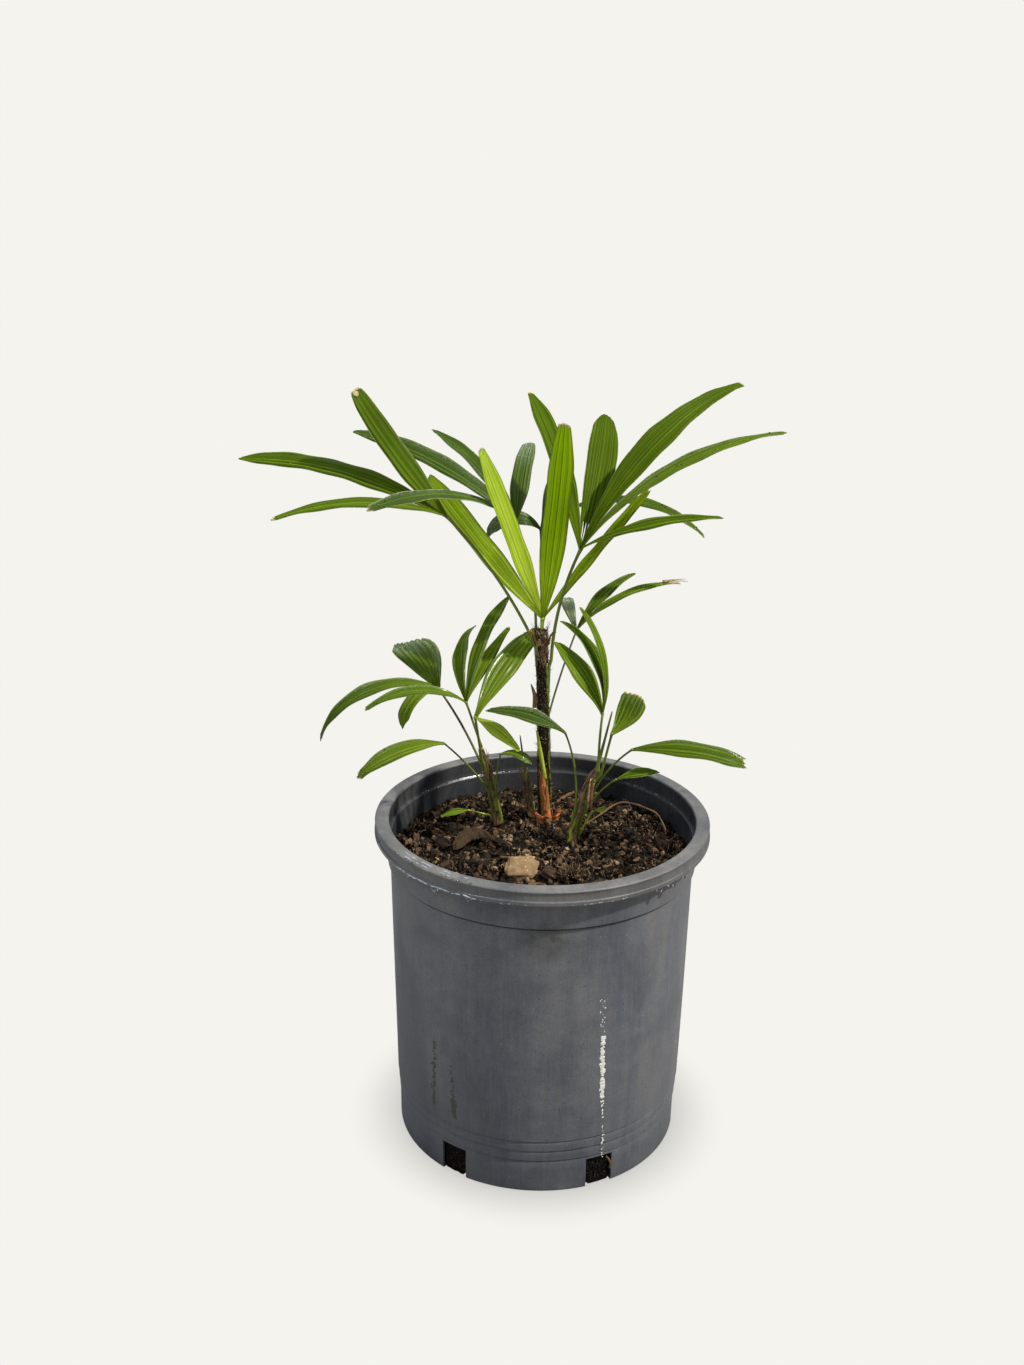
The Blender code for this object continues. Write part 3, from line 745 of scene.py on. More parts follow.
def pot_finish(name, plastic, dusty, dust_share, roughness):
    """Moulded plastic with rubbed dust, upright water runs, a damp patch, fine scuffs, a shadow painted
    under the front of the lip, and darker towards the foot.
    """
    made, tree, surface = new_finish(name)
    runs = effect(tree, "upright streaks", Scale=150.0, Drawn_Out=0.05, Low=0.42, High=0.62)
    broad = effect(tree, "upright streaks", Scale=26.0, Drawn_Out=0.3, Low=0.4, High=0.6)
    fine = effect(tree, "upright streaks", Scale=560.0, Drawn_Out=0.1, Low=0.48, High=0.68)
    blotch = effect(tree, "mottle", Scale=34.0, Low=0.46, High=0.64)
    cloud = effect(tree, "mottle", Scale=150.0, Low=0.42, High=0.62)
    grain = effect(tree, "mottle", Scale=900.0)
    specks = effect(tree, "specks", Scale=330.0, Size=0.13, Share=0.12)
    pits = effect(tree, "specks", Scale=310.0, Size=0.14, Share=0.14)
    where = object_place(tree)
    spot = add_node(tree, "SeparateXYZ", {0: where}).outputs
    layers = (product(tree, runs, 0.35), product(tree, broad, 0.8), product(tree, cloud, 0.3))
    dust = product(tree, total(tree, *layers), dust_share)
    skin = blended(tree, dust, plastic, dusty)
    skin = tinted(tree, skin, blotch, 0.45, scaled(plastic, 0.62))
    skin = tinted(tree, skin, fine, 0.36, scaled(plastic, 1.8))
    skin = tinted(tree, skin, specks, 0.75, scaled(dusty, 1.3))
    skin = tinted(tree, skin, pits, 0.7, scaled(plastic, 0.3))
    skin = blended(tree, ranged(tree, grain, 0.4, 0.8, 0.0, 0.22), skin, scaled(plastic, 0.4))
    # A shadow painted as a dark line under the front of the lip
    skin = blended(tree, painted_lip_shadow(tree, spot), skin, PAINTED_LIP_SHADOW_COLOUR)
    foot_shade = ranged(tree, spot["Z"], 0.015, 0.11, 0.3, 0.0)
    skin = blended(tree, foot_shade, skin, scaled(plastic, 0.5))
    skin = blended(tree, damp_patch(tree, where, cloud), skin, DAMP_COLOUR)
    rough = ranged(tree, dust, 0, 1, roughness, roughness + 0.2)
    set_inputs(tree, surface, {"Base Color": skin, "Roughness": rough})
    raised(tree, surface, total(tree, grain, fine), 0.4, 0.08)
    return made


def clear_water(name):
    """Clear water drops."""
    made, tree, surface = new_finish(name)
    clear = {"Base Color": (1, 1, 1, 1), "Roughness": 0.02, "IOR": 1.33, "Transmission Weight": 1.0}
    set_inputs(tree, surface, clear)
    return made


def make_finishes():
    """All materials by their short names. A leaf tone has a finish for each face and strip."""
    finishes = {"water": clear_water("water_drop")}
    for tone, (face, foot, under, rib, under_rib, furrow, roughness, *light) in TONES.items():
        for kind, colour, foot_colour, dull in (
            ("face", face, foot, roughness),
            ("under", under, foot, roughness + 0.14),
            ("rib", rib, rib, roughness),
            ("under_rib", under_rib, under_rib, UNDER_RIB_ROUGHNESS),
            # The furrow's dark colour is painted shade in the pleats' valleys
            ("furrow", furrow, face, roughness + 0.1),
            ("under_furrow", rib, under, UNDER_RIB_ROUGHNESS),
        ):
            label = f"{tone}_{kind}" if "_" in kind else f"{tone}_leaf_{kind}"
            finishes[f"{tone}_{kind}"] = leaf_finish(label, colour, foot_colour, dull, *light)
    for table, make in (
        (MARGINS, edge_finish),
        (STALKS, stalk_finish),
        (BARKS, bark_finish),
        (GRAINS, crumb_finish),
        (PLASTICS, pot_finish),
    ):
        for short, (label, *looks) in table.items():
            finishes[short] = make(label, *looks)
    return finishes


# Helpers for shapes


def smooth(share):
    """A share held within 0 and 1, with a soft start and end."""
    share = np.clip(share, 0, 1)
    return share * share * (3 - 2 * share)


def unit(vectors):
    """The same directions at a length of 1."""
    return vectors / np.linalg.norm(vectors, axis=-1, keepdims=True)


def outward(angle):
    """Level unit vector at an angle in radians."""
    return np.array((math.cos(angle), math.sin(angle), 0))


def around(radius, angle, height):
    """Place at a radius and an angle in radians round the pot's axis."""
    return radius * math.cos(angle), radius * math.sin(angle), height


def limb_frame(heading, rise, roll):
    """Unit vectors at a limb's root: along it, across it, and out of its upper face."""
    h, e, r = np.radians((heading, rise, roll))
    along = np.array((math.cos(e) * math.cos(h), math.cos(e) * math.sin(h), math.sin(e)))
    level = np.array((-math.sin(h), math.cos(h), 0))
    upper = np.cross(along, level)
    across = level * math.cos(r) + upper * math.sin(r)
    face = upper * math.cos(r) - level * math.sin(r)
    return along, across, face


def limb_line(root, heading, rise, roll, length, bend, shares, curl=0):
    """Places and outward faces at shares of a limb that bends evenly, with a further curl at its tip."""
    along, _, face = limb_frame(heading, rise, roll)
    steps = np.linspace(0, 1, 161)
    extra = np.clip((steps - CURL_FROM) / (1 - CURL_FROM), 0, 1) ** 2
    angle = np.radians(bend * steps + curl * extra)[:, None]
    ahead = along * np.cos(angle) - face * np.sin(angle)
    out = along * np.sin(angle) + face * np.cos(angle)
    moves = (ahead[1:] + ahead[:-1]) / 2 * length / (len(steps) - 1)
    places = root + np.concatenate([np.zeros((1, 3)), np.cumsum(moves, axis=0)])
    shares = np.asarray(shares, float)
    at = [np.stack([np.interp(shares, steps, line[:, k]) for k in range(3)], -1) for line in (places, out)]
    return at[0], at[1]


def pot_inner(height):
    """Inner radius of the pot's wall at a height."""
    return FOOT_RADIUS - WALL + height / STEP_HEIGHT * (STEP_RADIUS - FOOT_RADIUS)


def mix_height(radius):
    """Height of the mix's smooth mound at a distance from the pot's axis."""
    return MIX_EDGE_HEIGHT + MIX_MOUND * (1 - (radius / pot_inner(MIX_EDGE_HEIGHT)) ** 2)


def stem_at(name, up):
    """Axis point and radius of a stem at a distance up it. Below 0 is inside the mix."""
    (x, y), heading, rise, length, bend, foot_radius, top_radius = STEMS[name]
    slope = MIX_MOUND * 2 * foot_radius / pot_inner(MIX_EDGE_HEIGHT)
    root = np.array((x, y, mix_height(math.hypot(x, y)) + GAP + slope))
    share = up / length
    if share < 0:
        return root + limb_frame(heading, rise, 0)[0] * up, foot_radius
    place = limb_line(root, heading, rise, 0, length, bend, [share])[0][0]
    return place, foot_radius + (top_radius - foot_radius) * share


def beside_stem(name, up, angle, share=1.0, off=0.0):
    """Place beside a stem's axis, off it by a share of its radius and a distance."""
    axis, radius = stem_at(name, up)
    return axis + outward(angle) * (radius * share + off)


def stalk_root(stem, up, heading, radius):
    """Where a stalk leaves its stem: at its top, or on its side."""
    length = STEMS[stem][3]
    if up >= length:
        return stem_at(stem, length)[0] + (0, 0, GAP + 0.1)
    return beside_stem(stem, up, math.radians(heading), off=radius + GAP)


def leaf_hub(name):
    """The place where a leaf's segments meet, at its stalk's end."""
    stem, up, (heading, rise, length, bend, radius), _, _ = LEAVES[name]
    root = stalk_root(stem, up, heading, radius)
    return limb_line(root, heading, rise, 0, length, bend, [1])[0][0]


def placed(name, data):
    """An object with the data, in the scene."""
    thing = bpy.data.objects.new(name, data)
    bpy.context.scene.collection.objects.link(thing)
    return thing


def carried(thing, nodes):
    """Sets a piece to ride on the root, and hides the nodes that it replaces."""
    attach(thing, "root")
    if nodes:
        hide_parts(*nodes)
    return thing


def settle(thing):
    """Applies an object's modifiers to its mesh."""
    bpy.context.view_layer.update()
    evaluated = thing.evaluated_get(bpy.context.evaluated_depsgraph_get())
    made = bpy.data.meshes.new_from_object(evaluated)
    thing.modifiers.clear()
    thing.data = made


class Heap:
    """Vertices and faces in millimetres, gathered into one piece, with a finish for each face."""

    def __init__(self, *finishes):
        self.finishes = list(finishes)
        self.places, self.faces, self.slots = [], [], []
        self.marks = {"across": [], "rootward": [], "age": [], "tint": [], "dewy": []}
        self.count = 0

    def slot(self, finish):
        if finish not in self.finishes:
            self.finishes.append(finish)
        return self.finishes.index(finish)

    def add(self, places, faces, finish, **marks):
        """Adds points with their marks and faces, and gives back the first point's number."""
        places = np.asarray(places, float).reshape(-1, 3)
        start = self.count
        self.places.append(places)
        self.count += len(places)
        for mark, kept in self.marks.items():
            kept.append(np.broadcast_to(marks.get(mark, 0.0), len(places)))
        self.add_faces(faces, start, finish)
        return start

    def add_faces(self, faces, start, finish):
        """Adds faces on the points from start on. finish is a name, or slot numbers."""
        faces = np.asarray(faces)
        self.faces += (faces + start).tolist()
        chosen = self.slot(finish) if isinstance(finish, str) else finish
        self.slots.append(np.broadcast_to(chosen, len(faces)))

    def piece(self, name, nodes, thickness=None, flat=False):
        """Makes the piece; a thickness turns its sheets into shells."""
        mesh = bpy.data.meshes.new(name)
        mesh.from_pydata(np.concatenate(self.places) * MM, [], self.faces)
        for finish in self.finishes:
            mesh.materials.append(FINISHES[finish])
        mesh.polygons.foreach_set("material_index", np.concatenate(self.slots).astype(np.int32))
        for mark, kept in self.marks.items():
            values = np.concatenate(kept)
            if values.any():
                mesh.attributes.new(mark, "FLOAT", "POINT").data.foreach_set("value", values)
        if flat:
            mesh.shade_flat()
        else:
            mesh.shade_smooth()
        mesh.update()
        thing = placed(name, mesh)
        if thickness:
            shell = thing.modifiers.new("thickness", "SOLIDIFY")
            shell.thickness = thickness * MM
            shell.offset = 0
            shell.material_offset = 1
            settle(thing)
        return carried(thing, nodes)


def grid_faces(rows, columns):
    """Quads of a sheet of rows by columns of points, row by row."""
    first = (np.arange(rows - 1)[:, None] * columns + np.arange(columns - 1)).ravel()
    return np.stack([first, first + 1, first + columns + 1, first + columns], 1)


def ring_faces(rings, sides):
    """Quads of a tube of rings, each of so many sides."""
    k = np.arange(sides)
    nearby = (k + 1) % sides
    base = np.arange(rings - 1)[:, None] * sides
    quads = np.stack([base + k, base + nearby, base + sides + nearby, base + sides + k], -1)
    return quads.reshape(-1, 4)


def end_faces(rings, sides):
    """Triangles that close a tube's ends onto the two points that come after its rings."""
    k = np.arange(sides)
    nearby = (k + 1) % sides
    last = (rings - 1) * sides
    foot = np.stack([nearby, k, np.full(sides, rings * sides)], 1)
    top = np.stack([last + k, last + nearby, np.full(sides, rings * sides + 1)], 1)
    return np.concatenate([foot, top])


def tube(heap, points, radii, sides, finish, squash=1.0, **marks):
    """A closed tube along a line of points; squash flattens it in the second direction."""
    points = np.asarray(points, float)
    count = len(points)
    radii = np.broadcast_to(radii, count)
    ahead = unit(np.gradient(points, axis=0))
    side = np.cross(ahead[0], (0.31, 0.87, 0.39))
    angles = np.linspace(0, FULL_TURN, sides, endpoint=False)[:, None]
    rings = []
    for k in range(count):
        side = unit(side - ahead[k] * np.dot(side, ahead[k]))
        other = np.cross(ahead[k], side)
        rings.append(points[k] + radii[k] * (np.cos(angles) * side + squash * np.sin(angles) * other))
    places = np.concatenate([*rings, points[:1], points[-1:]])
    spread = {mark: np.append(np.repeat(v, sides), [v[0], v[-1]]) for mark, v in marks.items()}
    start = heap.add(places, ring_faces(count, sides), finish, **spread)
    heap.add_faces(end_faces(count, sides), start, finish)


def ball_of_faces(detail):
    """Points and triangles of a ball of radius 1."""
    shape = bmesh.new()
    bmesh.ops.create_icosphere(shape, subdivisions=detail, radius=1)
    places = np.array([v.co for v in shape.verts])
    faces = np.array([[v.index for v in f.verts] for f in shape.faces])
    shape.free()
    return places, faces


def random_turns(count, rng):
    """Random rotation matrices."""
    w, x, y, z = unit(rng.normal(size=(count, 4))).T
    rows = [
        [1 - 2 * (y * y + z * z), 2 * (x * y - w * z), 2 * (x * z + w * y)],
        [2 * (x * y + w * z), 1 - 2 * (x * x + z * z), 2 * (y * z - w * x)],
        [2 * (x * z - w * y), 2 * (y * z + w * x), 1 - 2 * (x * x + y * y)],
    ]
    return np.array(rows).transpose(2, 0, 1)


def lumps(heap, centres, sizes, rng, finish, detail=1, rough=0.25, lean=(0.5, 1.0), shape=(1, 1, 1)):
    """Irregular crumbs: balls squeezed, dented and turned at random, each with its own tint."""
    places, faces = ball_of_faces(detail)
    count = len(centres)
    scale = rng.uniform(*lean, size=(count, 1, 3)) * np.reshape(sizes, (-1, 1, 1)) * shape
    dents = 1 + rng.uniform(-rough, rough, size=(count, len(places), 1))
    shaped = places[None] * dents * scale
    shaped = np.einsum("nij,nvj->nvi", random_turns(count, rng), shaped) + np.reshape(centres, (-1, 1, 3))
    offsets = np.arange(count)[:, None, None] * len(places)
    tint = np.repeat(rng.random(count) ** 2.2, len(places))
    heap.add(shaped.reshape(-1, 3), (faces[None] + offsets).reshape(-1, faces.shape[1]), finish, tint=tint)


def flat_drops(heap, centres, normals, sizes, rise, rng, finish, ragged=0.0, sides=9):
    """Domes that sit on a surface: dew, water marks and dirt. rise is a dome's height as a share."""
    angles = np.arange(sides) / sides * FULL_TURN
    bands = ((1.0, -0.25), (0.96, 0.25), (0.72, 0.72), (0.35, 0.95))
    k = np.arange(sides)
    first = (len(bands) - 1) * sides
    cap = np.stack([first + k, first + (k + 1) % sides, np.full(sides, len(bands) * sides)], 1)
    for centre, normal, size in zip(centres, normals, sizes):
        normal = unit(normal)
        side = unit(np.cross(normal, (0.21, 0.13, 0.97)))
        other = np.cross(normal, side)
        wobble = 1 + ragged * rng.uniform(-1, 1, sides)
        stretch = rng.uniform(0.8, 1.15)
        flat = (np.cos(angles) * wobble)[:, None] * side * stretch
        flat = flat + (np.sin(angles) * wobble)[:, None] * other
        rings = [centre + size * (reach * flat + rise * height * normal) for reach, height in bands]
        rings.append((centre + size * rise * normal)[None])
        start = heap.add(np.concatenate(rings), ring_faces(len(bands), sides), finish)
        heap.add_faces(cap, start, finish)


def curve_through(points, count):
    """Points along a smooth line through a few given ones."""
    points = np.asarray(points, float)
    rows = []
    for place in np.linspace(0, len(points) - 1, count):
        k = min(int(place), len(points) - 2)
        before, after = points[max(k - 1, 0)], points[min(k + 2, len(points) - 1)]
        t = place - k
        a, b = points[k], points[k + 1]
        bend = (2 * before - 5 * a + 4 * b - after) * t**2 + (3 * a - before - 3 * b + after) * t**3
        rows.append(0.5 * (2 * a + (b - before) * t + bend))
    return np.array(rows)


# Leaves


def segment_columns(ribs):
    """Places across a segment, -1 to 1, with strips for its margins, ribs and furrows, and their kinds."""
    marks, kinds = [-1.0, -0.962], ["edge"]
    for k in range(ribs):
        middle = -1 + (2 * k + 1) / ribs
        aside = 0.16 * math.sin(2.7 * k + 1.9 * ribs)
        for share in (-0.88, -0.45, -0.09, 0.09, 0.45, 0.88, 1.0):
            marks.append(middle + (share + aside * (1 - abs(share))) / ribs)
            kinds.append("rib" if share == 0.09 else "furrow" if share in (-0.88, 1.0) else "face")
    marks[-1] = 0.962
    kinds[1] = kinds[-1] = "face"
    marks.append(1.0)
    kinds.append("edge")
    return np.array(marks), kinds


def segment_rows(length):
    """Shares along a segment, closer together at the tip."""
    body = np.linspace(0, 0.88, max(24, int(length / 2.4)), endpoint=False)
    return np.concatenate([body, np.linspace(0.88, 0.99, 11), [0.995, 1.0]])


def segment_half_width(segment, share):
    """Half the width of a segment at shares of its length."""
    (_, _, _, _, width, _, tip), _, _, outline, _, _, _ = segment
    shoulder, slow, narrow_from, late = OUTLINES[outline]
    rising = np.sin(math.pi / 2 * np.clip(share / shoulder, 0, 1)) ** slow
    narrowing = np.clip((share - narrow_from) / (1 - narrow_from), 0, 1) ** late
    return width / 2 * (ROOT_SHARE + (1 - ROOT_SHARE) * rising) * (1 - (1 - tip) * narrowing)


def ending_cut(ending, across, ribs, tip_half, rng):
    """How far back from the tip each place across a segment ends, in millimetres."""
    phase = rng.uniform(0, 1)
    teeth = np.abs(((across * (ribs + 0.5) + phase) % 1) - 0.5) * 2
    uneven = np.interp(across, np.linspace(-1, 1, 7), rng.uniform(0, 1, 7))
    rounded = tip_half * (1 - np.sqrt(np.clip(1 - across**2, 0, 1)))
    cuts = {
        "round": rounded * 1.3 + teeth * 0.2,
        "pointed": np.abs(across) * tip_half * 1.7 + teeth * 0.4,
        "toothed": rounded * 0.8 + teeth * 1.3 + uneven * 0.8,
        "frayed": rounded * 0.5 + teeth * 1.2 + uneven * 1.6,
        "ragged": rounded * 0.4 + teeth * 2.4 + uneven * 3.0,
        "cream": rounded * 0.4 + teeth * 1.0 + uneven * 1.6,
        "split": 9.0 * np.exp(-((across / 0.35) ** 2)) + teeth * 0.8,
    }
    return cuts[ending]


def add_segment(heap, hub, segment, rng):
    """One pleated leaf segment, with raised ribs and a toothed or rounded end."""
    (heading, rise, roll, length, width, bend, tip), ribs, tone, outline, ending, curl, wetness = segment
    slit = outline == "slit_paddle"
    across, kinds = segment_columns(ribs)
    along = segment_rows(length)
    share, side = np.meshgrid(along, across, indexing="ij")
    cut = ending_cut(ending, side, ribs, width * tip / 2, rng) / length
    reach = share - cut * smooth((share - 0.7) / 0.3)
    places, out = limb_line(hub, heading, rise, roll, length, bend, reach, curl)
    level = limb_frame(heading, rise, roll)[1]

    half = segment_half_width(segment, share)
    half = half * (1 + 0.02 * np.sin(share * length / 6 + rng.uniform(0, 6)))
    sway = rng.uniform(-0.7, 0.7) * np.sin(math.pi * share)
    twist = math.radians(rng.uniform(-7, 7)) * (share - 0.4)
    twist = twist + 0.05 * np.sin(share * length / 14 + rng.uniform(0, 6))
    if slit:
        middles = -1 + (2 * np.clip(np.floor((side + 1) / 2 * ribs), 0, ribs - 1) + 1) / ribs
        side = middles + (side - middles) * (0.4 + 0.6 * smooth((share - 0.1) / 0.1))
    pleat_place = np.abs((((side + 1) / 2 * ribs) % 1) * 2 - 1)
    pleat = 1 - 2 * np.sin(math.pi / 2 * pleat_place) ** 0.8
    depth = 0.06 * half + 0.16
    fade = 1 - 0.55 * smooth((share - 0.75) / 0.25)
    ruffle = 0.28 * side**2 * np.sin(share * length / 4.2 + side * 2 + rng.uniform(0, 6))
    height = -FOLD * half * (1 - np.abs(side)) + pleat * depth * fade + ruffle * smooth(share / 0.3)

    turn_side = level * np.cos(twist)[..., None] + out * np.sin(twist)[..., None]
    turn_out = out * np.cos(twist)[..., None] - level * np.sin(twist)[..., None]
    points = places + turn_side * (side * half + sway)[..., None] + turn_out * height[..., None]

    faces, chosen = segment_faces(heap, tone, kinds, along, ending, slit)
    # Where this mark is high the finish lays a wet coat and a painted sheen of reflected sky: on upper
    # margins that face up, and on the ends of paddles and fans
    upper_margin = smooth((side * np.sign(level[2]) - 0.3) / 0.7) * min(1, abs(level[2]) * 4 + 0.3)
    far_end = smooth((share - 0.45) / 0.5) * (outline in ("paddle", "fan"))
    dewy = wetness * smooth(share / 0.25) * np.maximum(np.maximum(upper_margin, far_end), 0.08)
    marks = {
        "across": side * width / 2 + ACROSS_START,
        "rootward": 1 - smooth(share / 0.45),
        "dewy": dewy,
    }
    heap.add(points, faces, chosen, **{mark: values.ravel() for mark, values in marks.items()})
    return points, turn_out


def segment_faces(heap, tone, kinds, along, ending, slit):
    """A segment's quads and their slots: strips across it, a dry end, and slits near its root."""
    slots = {kind: heap.slot(f"{tone}_{kind}") for kind in ("face", "rib", "furrow")}
    slots["edge"] = heap.slot("edge")
    chosen = np.tile([slots[kind] for kind in kinds], (len(along) - 1, 1))
    if ending in DRY_ENDS:
        rows, dry = DRY_ENDS[ending]
        chosen[-rows:] = heap.slot(dry)
    faces = grid_faces(len(along), len(kinds) + 1)
    chosen = chosen.ravel()
    if slit:
        near_root = np.repeat((along[1:] > 0.04) & (along[1:] < 0.18), len(kinds))
        kept = ~(near_root & (chosen == slots["furrow"]))
        faces, chosen = faces[kept], chosen[kept]
    return faces, chosen


def stalk_ages(tone, shares):
    """How dark a stalk is along its length."""
    ages = {
        "green": 0.12 + 0.1 * shares,
        "young": 0.0 * shares + 0.02,
        "dark": 0.35 + 0.6 * smooth(shares / 0.5),
        "brown_tip": 0.08 + 0.8 * smooth((shares - 0.55) / 0.4),
    }
    return ages[tone]


def add_stalk(heap, name):
    """A stalk that leaves its stem from a clasping foot and swells a little at its hub."""
    stem, up, (heading, rise, length, bend, radius), tone, _ = LEAVES[name]
    root = stalk_root(stem, up, heading, radius)
    shares = np.linspace(0, 1, max(10, int(length / 3)))
    line = limb_line(root, heading, rise, 0, length, bend, shares)[0]
    radii = 0.74 * radius * (1 - 0.15 * shares) * (1 + 0.35 * smooth((shares - 0.93) / 0.07))
    if up < STEMS[stem][3]:
        feet = [
            beside_stem(stem, up - down, math.radians(heading), hug, radius * 0.3)
            for down, hug in CLASP
            if down < up + 3
        ]
        line = np.concatenate([np.reshape(feet, (-1, 3)), line])
        radii = np.concatenate([radius * np.linspace(1.15, 0.8, len(feet)), radii])
        shares = np.concatenate([np.linspace(-0.6, 0, len(feet)), shares])
    ages = stalk_ages(tone, np.maximum(shares, 0)) + np.clip(-shares, 0, 1)
    tube(heap, line, radii, 10, stalk_skin(tone), squash=0.85, age=np.clip(ages, 0, 1))


def stalk_skin(tone):
    return "young_stalk" if tone == "young" else "stalk"


def make_leaf(name, seed):
    """A leaf's segments in one piece and its stalk in another; gives back where dew can lie."""
    rng = np.random.default_rng(seed)
    hub = leaf_hub(name)
    _, _, (_, _, _, _, stalk_radius), _, segments = LEAVES[name]
    tones = list(dict.fromkeys(segment[2] for segment in segments))
    finishes = []
    for tone in tones:
        for kind in ("face", "rib", "furrow"):
            finishes += [f"{tone}_{kind}", f"{tone}_under" if kind == "face" else f"{tone}_under_{kind}"]
    blades = Heap(*finishes, "edge", "edge", "dry", "dry", "cream", "cream")
    beds = []
    for k, segment in enumerate(segments):
        lifted = hub + (0, 0, ROOT_STACK * k)
        points, out = add_segment(blades, lifted, segment, rng)
        beds.append((points, out, segment[6]))
    blades.piece(name + "_segments", [name], thickness=SEGMENT_THICKNESS)
    stalk = Heap()
    add_stalk(stalk, name)
    knot = [stalk_radius * 0.95]
    lumps(stalk, [hub], knot, rng, stalk.finishes[0], detail=2, rough=0.03, lean=(0.9, 1.0))
    stalk.piece(name + "_stalk", [name])
    return beds


def make_spear(name):
    """An unopened leaf: a rolled blade with a fold along it, sunk into its stem."""
    stem, up, heading, rise, length, bend, radius, tone = SPEARS[name]
    root = stalk_root(stem, up, heading, radius)
    sunk = 14.0 if tone == "young" else 2.5
    shares = np.linspace(-sunk / length, 1, 22)
    ahead = limb_frame(heading, rise, 0)[0]
    line = limb_line(root, heading, rise, 0, length, bend, np.clip(shares, 0, 1))[0]
    line += ahead * length * np.minimum(shares, 0)[:, None]
    radii = radius * (1 - 0.8 * np.clip(shares, 0, 1) ** 1.3) * (1 + 0.08 * np.sin(shares * 9))
    spear = Heap()
    finish = stalk_skin(tone)
    ages = np.clip(0.3 + 0.5 * shares, 0, 1) if tone == "dark" else np.clip(shares * 0.3, 0, 1)
    tube(spear, line, radii, 9, finish, squash=0.7, age=ages)
    turned = line[4:] + (radius * 0.45, 0, 0)
    tube(spear, turned, radii[4:] * 0.55, 7, finish, age=ages[4:] * 0.6)
    spear.piece(name + "_blade", [name])


# Stems


def add_bark(heap, name):
    """The stem's fibrous surface: upright ridges, a swollen foot and a narrowed top."""
    length = STEMS[name][3]
    finish, fullness, _, _ = CLADDING[name]
    ups = np.linspace(-4, length, int(length / 0.9) + 6)
    angles = np.linspace(0, FULL_TURN, BARK_SIDES, endpoint=False)
    level = np.stack([np.cos(angles), np.sin(angles), 0 * angles], 1)
    rings = []
    for up in ups:
        axis, radius = stem_at(name, up)
        slim = 1.0 if name == "trunk" else 1 - 0.65 * float(smooth((up / length - 0.55) / 0.45))
        flare = fullness * slim * (1 + 0.25 * math.exp(-max(up, 0) / 4))
        ring = []
        for angle in angles:
            spot = Vector(around(2.6, angle, up * 0.16))
            ring.append(radius * flare * (1 + 0.11 * noise.noise(spot) + 0.08 * noise.noise(spot * 2.7)))
        rings.append(axis + np.array(ring)[:, None] * level)
    places = np.concatenate([*rings, stem_at(name, -4)[0][None], stem_at(name, length)[0][None]])
    start = heap.add(places, ring_faces(len(ups), BARK_SIDES), finish)
    heap.add_faces(end_faces(len(ups), BARK_SIDES), start, finish)


def add_sheath(heap, name, up, azimuth, length, finish, rng, slim):
    """An old leaf base: a plate wrapped on the stem that narrows to a torn tip and leans off it."""
    rows, columns = 13, 9
    torn = rng.uniform(0, 0.3, columns)
    wave = rng.uniform(0, 6)
    points = []
    for v in np.linspace(0, 1, rows):
        for w, tear in zip(np.linspace(-1, 1, columns), torn):
            share = v * (1 - tear * (0.4 + 0.6 * abs(w)))
            place = min(up + share * length, STEMS[name][3] + 3)
            angle = math.radians(azimuth + w * SHEATH_SPREAD * (1 - 0.86 * share**1.2))
            off = 0.25 + SHEATH_LEAN * share**2.2 + 0.14 * math.sin(w * 7 + wave + v * 3)
            points.append(beside_stem(name, place, angle, slim, off))
    heap.add(points, grid_faces(rows, columns), finish)


def add_fibres(heap, name, count, rng, finish, low=0.0, high=1.0):
    """Crossed fibres wound on a stem, standing just off its surface."""
    length = STEMS[name][3]
    for _ in range(count):
        start = rng.uniform(low, high) * length
        angle = rng.uniform(0, FULL_TURN)
        run = rng.uniform(5, 15)
        turn = rng.choice((-1, 1)) * rng.uniform(0.02, 0.13)
        points = []
        for step in range(6):
            along = run * step / 5
            off = 0.2 + 0.25 * math.sin(step * 1.7 + angle * 5)
            up = min(start + along, length + 2)
            points.append(beside_stem(name, up, angle + turn * along, 0.86, off))
        tube(heap, points, np.linspace(0.22, 0.12, 6), 3, finish)


def add_hairs(heap, name, count, rng, finish, low=0.0, high=1.0, reach=(1.5, 4.0), up_share=0.8):
    """Loose fibre ends that stand off a stem."""
    length = STEMS[name][3]
    steps = np.linspace(0, 1, 4)[:, None]
    for _ in range(count):
        up = rng.uniform(low, high) * length
        angle = rng.uniform(0, FULL_TURN)
        aim = outward(angle) * rng.uniform(0.25, 1.0)
        aim = aim + (0, 0, up_share * rng.uniform(0.3, 1.5))
        aim = unit(aim + rng.normal(scale=0.25, size=3))
        size = rng.uniform(*reach)
        bow = rng.normal(scale=0.18, size=3) * size
        points = beside_stem(name, up, angle, 0.84) + aim * size * steps + bow * steps**2
        tube(heap, points, np.linspace(0.16, 0.05, 4), 3, finish)


def add_ribbon(heap, line, widths, facing, finish, cup=0.3):
    """A torn strip of sheath along a line of points, cupped across."""
    line = np.asarray(line, float)
    ahead = np.gradient(line, axis=0)
    side = unit(np.cross(ahead, facing))
    out = unit(np.cross(side, ahead))
    across = np.linspace(-1, 1, 5)
    rows = [
        line[k] + np.outer(across * widths[k] / 2, side[k]) + np.outer(across**2 * widths[k] * cup, out[k])
        for k in range(len(line))
    ]
    heap.add(np.concatenate(rows), grid_faces(len(line), len(across)), finish)


